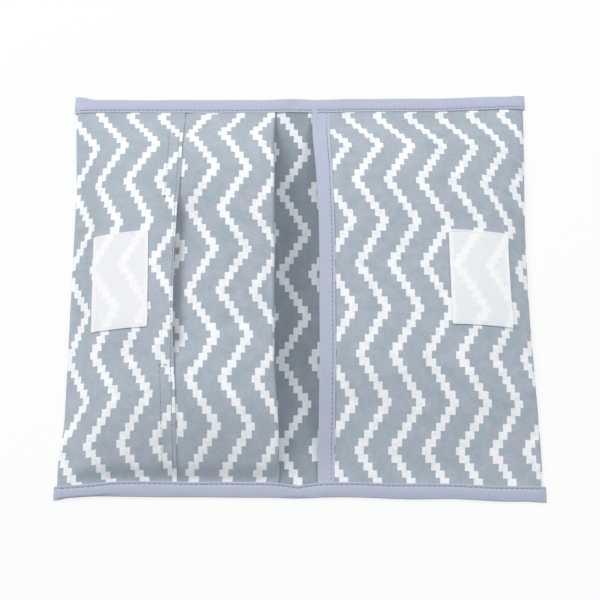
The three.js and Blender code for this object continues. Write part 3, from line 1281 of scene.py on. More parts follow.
@dataclass
class Pocket(SewnPart):
    """What both pockets share: panels of printed cloth that settle between their seams."""

    thickness: float = 0.36 * MM
    mesh_size: float = 2.6 * MM
    spare_cloth: float = 0.012
    most_rise: float = 0.35 * MM
    fold_gap: float = 0.2 * MM
    pucker_height: float = 0.3 * MM

    def rows(self) -> Array:
        """Places of the rows of points, from the bottom edge to the top edge."""
        end = self.plan.tuck_end
        return np.linspace(-end, end, 2 * int(end / self.mesh_size) + 1)

    def pucker(self, along: Array, y: Array, wave: float, seed: int) -> Array:
        """Height of the puckers beside the binding."""
        inside = self.plan.inside(y)
        return self.pucker_height * bell(inside, 0, 9) * (inside > 0) * ripple(along, wave, seed)

    def held(self, shape: tuple[int, ...], y: Array) -> Array:
        """How firmly the binding holds each point of a panel, from 0 to 1."""
        return np.broadcast_to(rise(-self.plan.inside(y), -3, 3), shape).copy()

    @staticmethod
    def raised(x: Array, y: Array, height: Callable[[Array, Array], Array]) -> Array:
        """Points of a panel above its columns of x and its row of y."""
        grid_y = np.broadcast_to(y, x.shape)
        return np.stack([x, grid_y, height(x, grid_y)], axis=2)

    def settled(self, points: Array, held: Array, puff: float, sag: float) -> Array:
        """The points of a panel where its cloth came to rest."""
        return self.shop.settle(points, held, puff, self.spare_cloth, self.most_rise, sag)

    def printed(self, base: Array, rested: Array, column: int, offset: Pair, creep: Array,
                stretch: float = 1.0) -> ClothGrid:
        """Prints a panel as it was cut, and lays it where it came to rest.

        Args:
            base: points of the panel before it settled.
            rested: the same points after.
            column: column that the print is measured from, at the middle row.
            offset: place of the print's own origin, from there.
            creep: how far the print has crept at each point.
            stretch: how much longer the cloth is pulled along y than it was printed.

        Returns:
            The panel with its print.
        """
        origin = (column, base.shape[1] // 2)
        laid = ClothGrid.laid(self.plan.pulled(base), origin, offset, stretch)
        return ClothGrid(rested, laid.place + creep)


@dataclass
class WipesPocket(Pocket):
    """Left pocket: a hemmed flap over an inner panel that folds down beside the spine."""

    hem: float = 11 * MM
    hem_round: float = 0.27 * MM
    overlap: float = 10 * MM
    fold_round: float = 2.4 * MM
    wall_lift: float = 0.55 * MM
    wall_lean: float = 1.6 * MM
    wall_turning: float = 4.0 * MM
    hem_step: float = 0.3 * MM
    seam_dent: float = 0.22 * MM
    edge_dent: float = 0.12 * MM
    seam_in: float = 9.0 * MM
    edge_in: float = 2.2 * MM
    tack: float = 0.8 * MM
    open_from: float = -60.5 * MM
    open_to: float = 55.3 * MM
    slit_drag: float = 3.2 * MM
    flap_skew: float = 2.2 * MM
    flap_slack: float = 0.9 * MM
    inner_skew: float = 3.2 * MM
    inner_drag: float = 0.6
    flap_print: Pair = (0.0, -22.4 * MM)
    inner_print: Pair = (0.67 * MM, 17.0 * MM)
    flap: ClothGrid = field(init=False)

    def dragged(self, y: Array) -> Array:
        """How far the cloth is dragged towards the spine beside the lower end of the slit."""
        return self.slit_drag * bell(y, -52, 26)

    def flap_creep(self, x: Array, y: Array) -> Array:
        """Finds how far the print has crept out of its place on the flat flap.

        Args:
            x: where on the flap.
            y: where on the flap.

        Returns:
            The creep along x and y.
        """
        slack = self.flap_slack * np.maximum(bell(x, -108, 20), rise(y, 78, 20))
        sideways = self.flap_skew * self.plan.skewed(y) - slack - self.dragged(y)
        return np.stack([sideways, self.plan.eased(y) * rise(x, -145, 30)], axis=-1)

    def inner_creep(self, x: Array, y: Array) -> Array:
        """Finds how far the print has crept on the flat inner panel, most beside the spine.

        Args:
            x: where on the panel.
            y: where on the panel.

        Returns:
            The creep along x and y.
        """
        bulge = 2.8 * bell(y, 50, 28) - 2.6 * rise(y, 85, 25)
        skew = self.inner_skew * self.plan.skewed(y) * ramp(x, -50, -18)
        sideways = skew - self.inner_drag * self.dragged(y)
        return np.stack([sideways, self.plan.eased(y) + bulge * MM * ramp(x, -72, 38)], axis=-1)

    def flap_height(self, x: Array, y: Array) -> Array:
        """Shapes the flap before it settles.

        Args:
            x: where, in metres.
            y: where, in metres.

        Returns:
            Height of the flap's middle.
        """
        plan = self.plan
        pucker = self.pucker(x + 0.2 * y, y, 13 * MM, 31)
        from_hem = plan.hem_x(y) - x
        hem = self.hem_step * rise(self.hem - from_hem, 0, 2)
        sewn = self.seam_dent * rise(np.abs(y), 56, 4) * bell(from_hem - self.seam_in, 0, 1.1)
        edged = self.edge_dent * bell(from_hem - self.edge_in, 0, 1.0)
        return plan.side_turn(x, 4) + plan.wipes_rise(x, y) + pucker + hem - sewn - edged

    def inner_height(self, x: Array, y: Array) -> Array:
        """Height of the inner panel's middle before it settles."""
        pucker = self.pucker(x - 0.2 * y, y, 13 * MM, 37) * rise(x - self.plan.slit, 0, 8)
        return self.plan.level(3) + self.plan.wipes_rise(x, y) - self.plan.gape(x, y) + pucker

    def build_flap(self) -> None:
        """Makes the flap, turned in at the side of the pouch and hemmed along the slit."""
        plan, shop = self.plan, self.shop
        y, turn = self.rows(), plan.turn(4)
        turn_x = -plan.side + turn * (1.0 - np.cos(np.linspace(0.0, 0.5 * np.pi, 7)))
        across = int((plan.side + plan.slit - turn) / self.mesh_size)
        run = plan.hem_x(y) - 0.3 * MM - turn_x[-1]
        columns = [np.full_like(y, x) for x in turn_x]
        columns += [turn_x[-1] + run * share for share in np.linspace(0.0, 1.0, across + 1)[1:]]
        x = np.stack(columns)
        top = self.raised(x, y, self.flap_height)
        held = self.held(x.shape, y)
        held[:3] = 1.0
        sewn = 1.0 - rise(plan.slit_length / 2 - np.abs(y), -3, 12)
        held[-4:] = np.maximum(held[-4:], 0.85 * sewn)
        settled = self.settled(top, held, 1.6, 1.2 * MM)
        foot = plan.side_foot(top[0], -1)[::-1]
        base = np.concatenate([foot, top, self._hem(top)])
        rested = np.concatenate([foot, settled, self._hem(settled)])
        face = slice(len(foot), len(foot) + len(top))
        creep = self.flap_creep(base[..., 0], y)
        self.flap = self.printed(base, rested, face.stop, self.flap_print, creep)
        self.flap.face = face
        cloth, back = shop.finishes.cloth, shop.finishes.back
        made = shop.sheet("wipes_flap_cloth", self.flap, cloth, back, self.thickness)
        shop.ride(made, "wipes_half", "printed_cloth", "wipes_flap")
        self.flap.cut_size()

    def _hem(self, face: Array) -> Array:
        """Turns the hem under along the slit.

        Args:
            face: points of the flap's upper face.

        Returns:
            The columns of the hem.
        """
        edge, radius = face[-1], self.hem_round
        angles = np.radians([30.0, 75.0, 105.0, 150.0])
        columns = [moved(edge, radius * np.sin(a), radius * (1.0 - np.cos(a))) for a in angles]
        for share in np.linspace(0.0, 1.0, 5):
            column = moved(edge, -share * self.hem, 0.0)
            for row, at in enumerate(column[:, 0]):
                column[row, 2] = np.interp(at, face[:, row, 0], face[:, row, 2]) - 2 * radius
            columns.append(column)
        return np.stack(columns)

    def build_inner(self) -> None:
        """Makes the inner panel with the wall that closes the pocket beside the spine."""
        plan, shop = self.plan, self.shop
        y = self.rows()
        edge = plan.wipes_edge_x(y)
        tucked = edge + (-plan.fold - self.fold_gap - edge) * rise(-plan.inside(y), 0, 3)
        edge = np.minimum(edge, tucked)
        start = plan.slit - self.overlap
        foot = plan.bound_level(2, y) + self.wall_lift
        radius = np.minimum(self.fold_round, 0.48 * (self.inner_height(edge, y) - foot))
        across = int((plan.wipes_edge - start) / self.mesh_size)
        shares = np.linspace(0.0, 1.0, across + 1)
        x = np.stack([start + (edge - radius - start) * share for share in shares])
        front = self.raised(x, y, self.inner_height)
        held = self.held(x.shape, y)
        held[:5] = 1.0
        held[-2:] = np.maximum(held[-2:], 0.6)
        settled = self.settled(front, held, 1.4, 1.4 * MM)
        base = np.concatenate([front, self._wall(front[-1], radius, foot)])
        rested = np.concatenate([settled, self._wall(settled[-1], radius, foot)])
        creep = self.inner_creep(base[..., 0], y)
        grid = self.printed(base, rested, len(front) + 2, self.inner_print, creep)
        cloth, back = shop.finishes.cloth, shop.finishes.back
        made = shop.sheet("wipes_inner_cloth", grid, cloth, back, self.thickness)
        shop.ride(made, "wipes_half", "printed_cloth", "wipes_inner_panel", "wipes_side_wall")
        grid.cut_size()

    def _wall(self, line: Array, radius: Array, foot: Array) -> Array:
        """Carries the panel down beside the spine.

        Args:
            line: last line of the panel's face.
            radius: radius of the rounded fold at each row.
            foot: height of the wall's foot at each row.

        Returns:
            The columns of the fold, the wall and the narrow turning at its foot.
        """
        angles = np.linspace(0.0, 0.5 * np.pi, 6)[1:]
        columns = [moved(line, radius * np.sin(a), radius * (1.0 - np.cos(a))) for a in angles]
        low = columns[-1]
        fall = low[:, 2] - foot
        waves = (0.5 + 0.35 * ripple(line[:, 1], 34 * MM, 41)) * MM
        for share in np.linspace(0.0, 1.0, 9)[1:]:
            lean = waves * np.sin(np.pi * share) - self.wall_lean * share
            columns.append(moved(low, rise(fall, 0, 8) * lean, fall * share))
        wall_foot = columns[-1]
        columns += [moved(wall_foot, -self.wall_turning * share, 0.0) for share in (0.35, 1.0)]
        return np.stack(columns)

    def sew(self) -> None:
        """Sews the hem along the slit, with a short tack at each end of the opening."""
        plan, above = self.plan, self.thickness / 2 + 0.08 * MM
        first, last = -plan.pocket_end + MM, plan.pocket_end
        seams = []
        for start, end, inset in ((first, last, self.edge_in), (first, self.open_from, self.seam_in),
                                  (self.open_to, last - MM, self.seam_in)):
            y = np.arange(start, end, SEAM_STEP)
            seams.append(seam_on(self.flap.height, plan.hem_x(y) - inset, y, above))
        for at in (self.open_from, self.open_from + self.tack, self.open_to, self.open_to - self.tack):
            hem = float(plan.hem_x(np.array([at]))[0])
            x = np.linspace(hem - self.seam_in, hem - 0.6 * self.seam_in, 6)
            seams.append(seam_on(self.flap.height, x, np.full_like(x, at), above))
        thread = self.shop.finishes.cloth_thread
        made = self.shop.stitch("slit_stitches", seams, thread, Width=0.3 * MM)
        self.shop.ride(made, "wipes_half", "printed_cloth")


@dataclass
class DiaperPocket(Pocket):
    """Right pocket: one front panel, open towards the spine along a bound mouth."""

    tape_thickness: float = 0.42 * MM
    front_print: Pair = (-1.95 * MM, -21.9 * MM)
    print_stretch: float = 1.022
    stitch_at: float = 0.82
    mouth_round: float = 0.1
    mouth_gap: float = 0.55 * MM
    mouth_roll: float = 0.28 * MM
    stitch_dent: float = 0.16 * MM
    stitch_lift: float = 0.42 * MM
    tape_wave: float = 0.16 * MM
    top_spare: float = 2.4 * MM
    side_spare: float = 2.2 * MM
    side_slack: float = 1.6 * MM
    front_skew: float = 4.0 * MM
    tape_rows: tuple[float, ...] = (0.1, 0.22, 0.35, 0.48, 0.6, 0.7, 0.77, 0.82, 0.87, 0.93, 1.0)
    front: ClothGrid = field(init=False)

    def creep(self, x: Array, y: Array, cut: Array) -> Array:
        """Finds how far the print has crept on the flat front, which is eased into its top and side.

        Args:
            x: where on the front.
            y: where on the front.
            cut: x of the front's cut edge at each y.

        Returns:
            The creep along x and y.
        """
        top = self.plan.eased(y) + self.top_spare * rise(y, 85, 25)
        fade = rise(y, 10, 40) - 0.5 * rise(y, 90, 20)
        side = self.side_spare * ramp(x, 45, 95) * fade
        slack = self.side_slack * rise(x, 100, 35) * rise(y, -85, 40) * rise(y, 80, -30)
        sideways = cut - self.plan.mouth_x(y) + self.front_skew * self.plan.skewed(y) - slack
        return np.stack([sideways, top + side], axis=-1)

    def height(self, x: Array, y: Array) -> Array:
        """Height of the front's middle before it settles."""
        pucker = self.pucker(x + 0.2 * y, y, 14 * MM, 53)
        return self.plan.side_turn(x, 3) + self.plan.diaper_rise(x, y) + pucker

    def build_front(self) -> None:
        """Makes the front panel, turned in at the side of the pouch."""
        plan, shop = self.plan, self.shop
        y = self.rows()
        turn_x = plan.side - plan.turn(3) * (1.0 - np.cos(np.linspace(0.5 * np.pi, 0.0, 7)))
        cut = plan.mouth_x(y) + 1.0 * MM
        cut = cut + (plan.fold + self.fold_gap - cut) * rise(-plan.inside(y), -1, 3)
        across = int((turn_x[0] - plan.mouth) / self.mesh_size)
        columns = [cut + (turn_x[0] - cut) * share for share in np.linspace(0.0, 1.0, across + 1)[:-1]]
        columns += [np.full_like(y, x) for x in turn_x]
        x = np.stack(columns)
        top = self.raised(x, y, self.height)
        held = self.held(x.shape, y)
        held[-3:] = 1.0
        held[:4] = np.maximum(held[:4], 0.75)
        settled = self.settled(top, held, 1.5, 1.4 * MM)
        foot = plan.side_foot(top[-1], 1)
        base, rested = np.concatenate([top, foot]), np.concatenate([settled, foot])
        creep = self.creep(base[..., 0], y, cut)
        self.front = self.printed(base, rested, 0, self.front_print, creep, self.print_stretch)
        self.front.face = slice(0, len(top))
        cloth, back = shop.finishes.cloth, shop.finishes.back
        made = shop.sheet("diaper_front_cloth", self.front, cloth, back, self.thickness)
        shop.ride(made, "diaper_half", "printed_cloth", "diaper_pocket_front")
        self.front.cut_size()

    def build_mouth(self) -> None:
        """Makes the tape folded over the mouth."""
        plan, shop, tape = self.plan, self.shop, self.shop.finishes.tape
        y = np.linspace(-plan.pocket_end - 2.0 * MM, plan.pocket_end + 2.0 * MM, 132)
        mouth = plan.mouth_x(y)
        angles = np.linspace(0.0, math.pi, 7)[1:-1]
        section = [(share, -1.0) for share in np.linspace(1.0, self.mouth_round, 6)]
        section += [(self.mouth_round * (1.0 - math.sin(a)), -math.cos(a)) for a in angles]
        section += [(share, 1.0) for share in self.tape_rows]
        columns = []
        for inward, up in section:
            x = mouth + plan.mouth_tape * inward + rise(y, 45, 70) * (1.5 * inward - 1.1) * MM
            gap = self.mouth_gap + self.mouth_roll * math.exp(-(inward / 0.3) ** 2)
            dent = self.stitch_dent * math.exp(-((inward - self.stitch_at) / 0.07) ** 2)
            wave = self.tape_wave * ripple(y + 0.6 * x, 16 * MM, 61) * math.sin(math.pi * min(1.0, inward))
            z = self.front.height(np.maximum(x, mouth + 1.2 * MM), y) + up * (gap - dent) + wave * (up > 0)
            columns.append(np.stack([x, y, z], axis=1))
        grid = ClothGrid.laid(np.stack(columns))
        made = shop.sheet("mouth_tape", grid, tape, tape, self.tape_thickness)
        shop.ride(made, "diaper_half", "binding_tape", "mouth_binding")
        grid.cut_size()

    def sew(self) -> None:
        """Sews the mouth's tape down."""
        plan, away = self.plan, self.stitch_lift + self.tape_thickness / 2
        y = np.arange(-plan.pocket_end + 1.5 * MM, plan.pocket_end - 1.5 * MM, SEAM_STEP)
        x = plan.mouth_x(y) + self.stitch_at * plan.mouth_tape + 0.1 * MM * rise(y, 45, 70)
        lower, lay = seam_on(self.front.height, x, y, -away)
        seams = [seam_on(self.front.height, x, y, away), (lower, -lay)]
        thread = self.shop.finishes.tape_thread
        made = self.shop.stitch("mouth_stitches", seams, thread, Width=0.45 * MM)
        self.shop.ride(made, "diaper_half", "binding_tape")


@dataclass(frozen=True)
class TapeLie:
    """How a tape lies along its edge, in millimetres.

    A crease is a place along the tape, a slant and a depth.
    """

    set_out: float
    pinch: float
    flare: Curve
    roll: float
    buckle: float
    lip: Curve
    creases: tuple[Triple, ...]
    overhang: float


TAPE_LIES = {
    Edge.TOP: TapeLie(
        set_out=-0.5, pinch=0.0, flare=Curve(0.0, ((0.7, 139, 11), (2.4, -137, -13))), roll=0.4, buckle=0.9,
        lip=Curve(0.25, ((0.5, 60, 70),)), creases=((-3.5, 0.3, 0.75),), overhang=1.6),
    Edge.BOTTOM: TapeLie(
        set_out=0.65, pinch=1.5, flare=Curve(0.1, ((0.7, 139, 11), (-1.9, -106, -30), (1.2, -143, -7))),
        roll=0.0, buckle=0.0, lip=Curve(0.25), creases=((-101, 0.9, 0.6), (-93, 1.2, 0.3)), overhang=1.92)}


@dataclass
class EdgeBinding(SewnPart):
    """Tape folded over the top or the bottom edge, across both pockets and the spine.

    Its rows, rim and crease width are in millimetres.
    """

    edge: Edge
    thickness: float = 0.42 * MM
    stitch_in: float = 1.6 * MM
    fold_depth: float = 1.1 * MM
    crease_width: float = 1.7
    mouth_step: float = 0.7 * MM
    end_drop: float = 0.7 * MM
    groove: float = 0.75 * MM
    wave: float = 0.14 * MM
    rows: tuple[float, ...] = (7.4, 6.2, 5.1, 4.1, 3.3, 2.7, 2.2, 1.9, 1.6, 1.3, 0.9, 0.5, 0.15)
    rim: tuple[Pair, ...] = ((-0.04, 0.4), (0.3, 0.8), (0.9, 1.2))

    @property
    def lie(self) -> TapeLie:
        """How the tape lies along this edge."""
        return TAPE_LIES[self.edge]

    @property
    def low(self) -> float:
        """Height of the lower leg's middle."""
        return self.thickness / 2 + 0.03 * MM

    def upper_leg(self, x: Array) -> Array:
        """Lays the upper leg over as many layers as lie under it.

        Args:
            x: where along the tape.

        Returns:
            Height of the leg at its inner edge.
        """
        plan, step = self.plan, self.plan.layer
        end = np.array([self.edge.sign * plan.pocket_end])
        in_mouth = x - plan.mouth_x(end)
        z = plan.level(5) - step * rise(x - plan.hem_x(end), 0, 5)
        z = z - step * rise(x - plan.wipes_edge_x(end), 0, 8) + step * rise(x - plan.fold, -7, 6)
        z = z + self.mouth_step * rise(in_mouth, -2, 3) * rise(plan.mouth_tape - in_mouth, -3, 4)
        for sign, turn in ((-1, plan.turn(4)), (1, plan.turn(3))):
            inside = plan.side - sign * x
            z = z - turn * (1.0 - quarter_round(inside / turn)) - self.end_drop * rise(-inside, 0, 2)
        return z - 0.15 * MM + 0.2 * MM * ripple(x, 32 * MM, 71 + self.edge.sign)

    def inner(self, x: Array) -> Array:
        """Distance from the middle to the tape's inner edge, which may be pinched at the spine."""
        out = self.lie.set_out + self.lie.pinch * np.exp(-np.abs(x + 1.6 * MM) / (6 * MM))
        return self.plan.pocket_end + out * MM + 0.25 * MM * ripple(x, 50 * MM, 79 + self.edge.sign)

    def outer(self, x: Array) -> Array:
        """Distance from the middle to the tape's outer fold, which flares at its ends."""
        waves = 0.3 * MM * ripple(x, 85 * MM, 75 + self.edge.sign)
        return self.plan.pocket_end + self.plan.tape_width + self.lie.flare.at(x) + waves

    def fold(self, x: Array) -> Array:
        """Half the height of the outer fold, which stands up where the edge buckles at the spine."""
        buckle = self.lie.buckle * MM * bell(x, -6, 10)
        return 0.3 * (self.upper_leg(x) - self.thickness / 2) + buckle

    def slack(self, x: Array, back: float) -> Array:
        """Waves the tape between stitches and fold, with a few sharper creases.

        Args:
            x: where along the tape.
            back: how far back from the inner edge.

        Returns:
            Height of the waves.
        """
        waves = self.lie.roll * MM + self.wave * ripple(x - 0.8 * back, 19 * MM, 91 + self.edge.sign)
        for place, slant, depth in self.lie.creases:
            waves = waves - depth * MM * bell(x - slant * back, place, self.crease_width)
        return waves * math.sin(math.pi * min(1.0, back / self.plan.tape_width))

    def leg(self, x: Array, back: float) -> Array:
        """Shapes the upper leg between its inner edge and the fold.

        Args:
            x: where along the tape.
            back: how far back from the inner edge.

        Returns:
            Height of the leg.
        """
        width = self.plan.tape_width
        crest = self.low + 2.0 * self.fold(x)
        climb = smooth(np.array((width - back) / (0.6 * width)))
        groove = self.groove * bell(back - self.stitch_in, 0, 0.6)
        lip = self.lie.lip.at(x) * bell(back, 0.3, 0.6)
        return crest + (self.upper_leg(x) - crest) * climb - groove + lip + self.slack(x, back)

    def section(self, x: Array) -> Array:
        """Draws the tape from the lower leg round the fold to the upper leg and its turned rim.

        Args:
            x: where along the tape.

        Returns:
            Lines of points along the tape.
        """
        inner, out, fold, depth = self.inner(x), self.outer(x), self.fold(x), self.fold_depth
        under = np.full_like(x, self.low)
        lines = [(inner + (out - depth - inner) * share, under) for share in np.linspace(0.0, 0.9, 6)]
        for a in np.linspace(-0.5 * math.pi, 0.5 * math.pi, 9):
            lines.append((out - depth * (1.0 - math.cos(a)), self.low + fold * (1.0 + math.sin(a))))
        lines += [(inner + back * MM, self.leg(x, back * MM)) for back in self.rows]
        last = lines[-1][1]
        lines += [(inner + back * MM, last - drop * MM) for back, drop in self.rim]
        return np.stack([np.stack([x, self.edge.sign * y, z], axis=1) for y, z in lines])

    def build(self, half: Half) -> None:
        """Makes the tape on one half of the edge.

        Args:
            half: which half.
        """
        shop, tape, label = self.shop, self.shop.finishes.tape, self.edge.label
        x = half.sign * np.linspace(0.0, self.plan.side + self.lie.overhang * MM, 76)[::half.sign]
        grid = ClothGrid.laid(self.section(x))
        name = f"{label}_tape_{half.side}_half"
        made = shop.sheet(name, grid, tape, tape, self.thickness, flip=self.edge is Edge.BOTTOM)
        shop.bend(made, half, "binding_tape", f"{label}_binding_{half.side}", f"{label}_binding_spine")
        grid.cut_size()

    def sew(self, half: Half) -> None:
        """Sews the tape down on one half of the edge.

        Args:
            half: which half.
        """
        x = half.sign * np.arange(0.8 * MM, self.plan.side - 1.5 * MM, SEAM_STEP)
        y = self.edge.sign * (self.inner(x) + self.stitch_in)
        above = self.leg(x, self.stitch_in) + 2.0 * (self.thickness / 2 + 0.02 * MM)
        top = np.stack([x, y, above], axis=1)
        under = np.stack([x, y, np.full_like(x, 0.08 * MM)], axis=1)
        up = np.broadcast_to(np.array([0.0, 0.0, 1.0]), top.shape)
        name, thread = f"{self.edge.label}_stitches_{half.side}_half", self.shop.finishes.tape_thread
        made = self.shop.stitch(name, [(top, up), (under, -up)], thread, Width=0.45 * MM)
        self.shop.bend(made, half, "binding_tape")


@dataclass
class Patch(SewnPart):
    """A piece of hook or loop tape sewn on a pocket front, a little askew."""

    node: str
    body: str
    slot: str
    cloth: ClothGrid
    lean: float
    spare: Pair = (0.0, 0.0)
    shift: Pair = (0.0, 0.0)
    thickness: float = 0.7 * MM
    stitch_in: float = 1.4 * MM
    selvedge: float = 2.2 * MM
    gap: float = 0.3 * MM
    dent: float = 0.15 * MM
    width: float = field(init=False)
    length: float = field(init=False)
    middle: Pair = field(init=False)

    def __post_init__(self) -> None:
        """Takes the size and the place from the frame."""
        low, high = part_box(self.node)
        self.width, self.length = high.x - low.x + self.spare[0], high.y - low.y + self.spare[1]
        self.middle = (0.5 * (low.x + high.x) + self.shift[0], 0.5 * (low.y + high.y) + self.shift[1])

    def spot(self, across: Array, along: Array) -> tuple[Array, Array]:
        """Place in plan of a point of the patch, given from the patch's own middle."""
        return self.middle[0] + across + self.lean * along, self.middle[1] + along

    def lift(self, across: Array, along: Array, above: float) -> Seam:
        """Points and normals at a height above the cloth's middle."""
        return seam_on(self.cloth.height, *self.spot(across, along), above)

    def build(self, finish: Material) -> None:
        """Makes the tape itself.

        Args:
            finish: its material.
        """
        columns, rows = np.linspace(-0.5, 0.5, 28) * self.width, np.linspace(-0.5, 0.5, 44) * self.length
        across, along = np.meshgrid(columns, rows, indexing="ij")
        across = across + 0.25 * MM * ripple(along, 40 * MM, 83)
        sides = np.minimum(across - across[0], across[-1] - across)
        ends = 0.5 * self.length - np.abs(along)
        sewn = self.dent * bell(np.minimum(sides, ends) - self.stitch_in, 0, 0.7)
        points, lay = self.lift(across, along, 0.0)
        above = self.gap + self.thickness / 2 - sewn
        place = self.cloth.span(*self.spot(across, along))[1]
        grid = ClothGrid(points + above[..., None] * lay, place)
        marks = {"selvedge": 1.0 - rise(sides - self.selvedge, 0, 0.5)}
        made = self.shop.sheet(f"{self.node}_tape", grid, finish, finish, self.thickness, marks=marks)
        self.shop.ride(made, self.body, self.slot, self.node)

    def sew(self) -> None:
        """Sews the patch down all round."""
        side, end = 0.5 * self.width - self.stitch_in, 0.5 * self.length - self.stitch_in
        corners = [(-side, -end), (side, -end), (side, end), (-side, end)]
        lines = [np.linspace(start, stop, 30) for start, stop in zip(corners, corners[1:] + corners[:1])]
        seams = [self.lift(line[:, 0], line[:, 1], 0.22 * MM + self.thickness) for line in lines]
        thread = self.shop.finishes.patch_thread
        made = self.shop.stitch(f"{self.node}_stitches", seams, thread, Width=0.36 * MM)
        self.shop.ride(made, self.body, self.slot)

    def loops(self, spacing: float) -> None:
        """Covers the patch with a pile of small loops.

        Args:
            spacing: distance between loops.
        """
        rng = np.random.default_rng(17)
        side, end = 0.5 * self.width - self.selvedge, 0.5 * self.length - 0.4 * MM
        across, along = np.meshgrid(np.arange(-side, side, spacing), np.arange(-end, end, spacing))
        across = (across + rng.uniform(-0.5, 0.5, across.shape) * spacing).ravel()
        along = (along + rng.uniform(-0.5, 0.5, along.shape) * spacing).ravel()
        points, lay = self.lift(across, along, 0.25 * MM + self.thickness)
        lay = lay + rng.normal(0.0, 0.5, lay.shape)
        lay /= np.linalg.norm(lay, axis=1, keepdims=True)
        sizes = {"Radius": 0.27 * MM, "Thread": 0.06 * MM, "Sweep": 3.5, "Sway": 3.1}
        yarn = self.shop.finishes.pile
        made = self.shop.curls(f"{self.node}_pile", (points, lay), yarn, **sizes)
        self.shop.ride(made, self.body, self.slot)

    def hooks(self, across_step: float, along_step: float) -> None:
        """Covers the patch with rows of small hooks, inside its selvedges.

        Args:
            across_step: distance between hooks in a row.
            along_step: distance between rows.
        """
        side, end = 0.5 * self.width - self.selvedge - 0.6 * MM, 0.5 * self.length - 1.0 * MM
        across, along = np.meshgrid(np.arange(-side, side, across_step), np.arange(-end, end, along_step))
        feet = self.lift(across.ravel(), along.ravel(), self.gap + self.thickness)
        sizes = {"Radius": 0.3 * MM, "Thread": 0.1 * MM, "Sweep": 3.9, "Sway": 0.15}
        made = self.shop.curls(f"{self.node}_hooks", feet, self.shop.finishes.hooks, **sizes)
        self.shop.ride(made, self.body, self.slot)


@dataclass(frozen=True)
class Lamp:
    """A soft square lamp that looks at the pouch, with its share of the studio's power."""

    name: str
    place: Triple
    size: float
    share: float


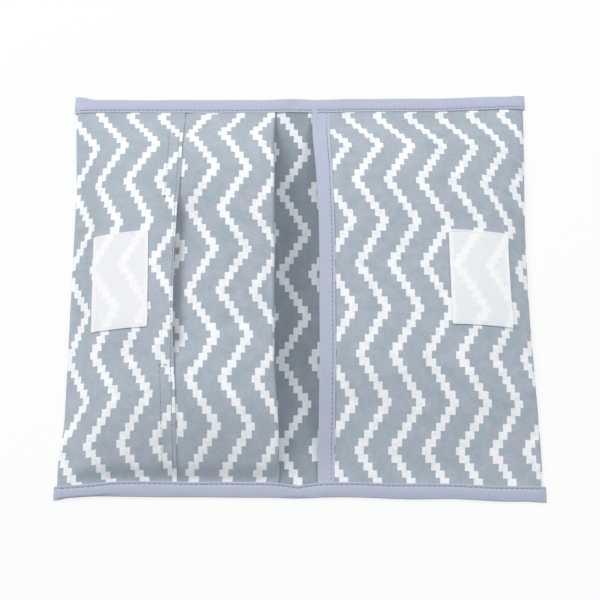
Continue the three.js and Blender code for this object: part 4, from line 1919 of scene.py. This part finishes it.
@dataclass
class Studio:
    """Floor, soft light and the camera."""

    eye: Triple = (0.0, -0.42626, 1.03622)
    target: Triple = (0.0, -0.0076, 0.0)
    lens: float = 104.4
    sensor: float = 36.0
    sky: float = 0.38
    sky_tint: Colour = (0.98, 0.99, 1.0, 1.0)
    power: float = 19.5
    lamps: tuple[Lamp, ...] = (
        Lamp("left_light", (-1.15, 0.85, 1.15), 0.9, 0.97),
        Lamp("right_light", (1.15, 0.85, 1.15), 0.9, 0.68),
        Lamp("front_light", (-0.45, -0.9, 1.3), 1.2, 0.2))
    floor_tint: Colour = (0.86, 0.87, 0.88, 1.0)
    floor_reach: float = 6.0
    floor_drop: float = -0.1 * MM
    shadow_share: float = 0.8
    shadow_from: float = 0.25
    shadow_to: float = 0.75

    @staticmethod
    def aim(thing: Piece, place: Triple, target: Triple) -> None:
        """Puts a lamp or the camera in a place and turns it to a target."""
        thing.location = place
        thing.rotation_euler = (Vector(target) - Vector(place)).to_track_quat("-Z", "Y").to_euler()

    def camera(self) -> None:
        """Sets the camera where the pouch is seen from."""
        made = placed("camera", bpy.data.cameras.new("camera"))
        made.data.lens, made.data.sensor_width = self.lens, self.sensor
        self.aim(made, self.eye, self.target)
        bpy.context.scene.camera = made

    def light(self) -> None:
        """Sets two soft lights behind the pouch, a weak one in front and an even white surround."""
        scene = bpy.context.scene
        scene.view_settings.view_transform = "Standard"
        scene.world = bpy.data.worlds.new("surround")
        nodes = Nodes.emptied(scene.world)
        seen = nodes.add("ShaderNodeLightPath").outputs["Is Camera Ray"]
        fill = nodes.add("ShaderNodeBackground", {"Color": self.sky_tint, "Strength": self.sky})
        plain = nodes.add("ShaderNodeBackground", {"Color": WHITE, "Strength": 1.0})
        both = nodes.add("ShaderNodeMixShader", {0: seen, 1: fill.outputs[0], 2: plain.outputs[0]})
        nodes.add("ShaderNodeOutputWorld", {"Surface": both.outputs[0]})
        for lamp in self.lamps:
            data = bpy.data.lights.new(lamp.name, "AREA")
            data.size, data.energy = lamp.size, lamp.share * self.power
            self.aim(placed(lamp.name, data), lamp.place, (0.0, 0.0, 0.0))

    def floor(self) -> None:
        """Lays a pale floor that keeps the pouch's soft shadow."""
        reach = self.floor_reach
        corners = ((-reach, -reach), (reach, -reach), (reach, reach), (-reach, reach))
        mesh = bpy.data.meshes.new("floor")
        mesh.from_pydata([(x, y, self.floor_drop) for x, y in corners], [], [(0, 1, 2, 3)])
        paint = bpy.data.materials.new("floor_paint")
        nodes = Nodes.emptied(paint)
        seen = nodes.add("ShaderNodeLightPath").outputs["Is Camera Ray"]
        matt = nodes.add("ShaderNodeBsdfDiffuse", {"Color": self.floor_tint})
        glow = nodes.add("ShaderNodeEmission", {"Color": WHITE, "Strength": 1.0})
        place = nodes.add("ShaderNodeTexCoord").outputs["Object"]
        away = nodes.add("ShaderNodeVectorMath", {0: place}, operation="LENGTH").outputs["Value"]
        plain = nodes.add("ShaderNodeMapRange", {
            "Value": away, "From Min": self.shadow_from, "From Max": self.shadow_to,
            "To Min": self.shadow_share, "To Max": 1.0})
        share = nodes.math("MULTIPLY", seen, plain.outputs[0])
        both = nodes.add("ShaderNodeMixShader", {0: share, 1: matt.outputs[0], 2: glow.outputs[0]})
        nodes.add("ShaderNodeOutputMaterial", {"Surface": both.outputs[0]})
        mesh.materials.append(paint)
        placed("floor", mesh)


def cover_print(plan: Plan, wipes: WipesPocket, diaper: DiaperPocket) -> Array:
    """Carries both pocket prints round the side folds onto the back cover.

    Args:
        plan: the pouch's plan.
        wipes: the wipes pocket, already built.
        diaper: the diaper pocket, already built.

    Returns:
        Print place at the left side, at the right side, and the offset along y.
    """
    pitch = Zigzag().pitch
    middle = wipes.flap.place.shape[1] // 2
    left = wipes.flap.place[0, middle, 0]
    right = diaper.front.place[-1, middle, 0]
    repeats = round((left - 2.0 * plan.side - right) / pitch)
    return np.array([left, right + repeats * pitch, wipes.flap_print[1]])


def main() -> None:
    """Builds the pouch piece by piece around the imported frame."""
    logging.basicConfig(level=logging.INFO, format="%(name)s: %(message)s")
    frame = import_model()
    plan = Plan.from_frame(frame)
    studio = Studio()
    studio.camera()
    studio.light()
    studio.floor()
    workshop = SewingRoom(plan, Finishes(ClothShaders(Zigzag())))
    wipes = WipesPocket(workshop)
    wipes.build_flap()
    wipes.build_inner()
    wipes.sew()
    diaper = DiaperPocket(workshop)
    diaper.build_front()
    diaper.build_mouth()
    diaper.sew()
    folding = FoldingCloth(workshop)
    bindings = [EdgeBinding(workshop, edge) for edge in Edge]
    outside_print = cover_print(plan, wipes, diaper)
    for half in Half:
        folding.build(half, outside_print)
        for binding in bindings:
            binding.build(half)
            binding.sew(half)
    loop = Patch(workshop, "loop_patch", "wipes_half", "loop_pile", wipes.flap, lean=-0.02,
                 shift=(0.2 * MM, 0.0))
    loop.build(workshop.finishes.loop)
    loop.loops(0.8 * MM)
    loop.sew()
    hook = Patch(workshop, "hook_patch", "diaper_half", "hook_tape", diaper.front, lean=-0.008,
                 spare=(3 * MM, -1.5 * MM), shift=(1.0 * MM, 0.75 * MM))
    hook.build(workshop.finishes.hook)
    hook.hooks(1.1 * MM, 1.6 * MM)
    hook.sew()


if __name__ == "__main__":
    main()
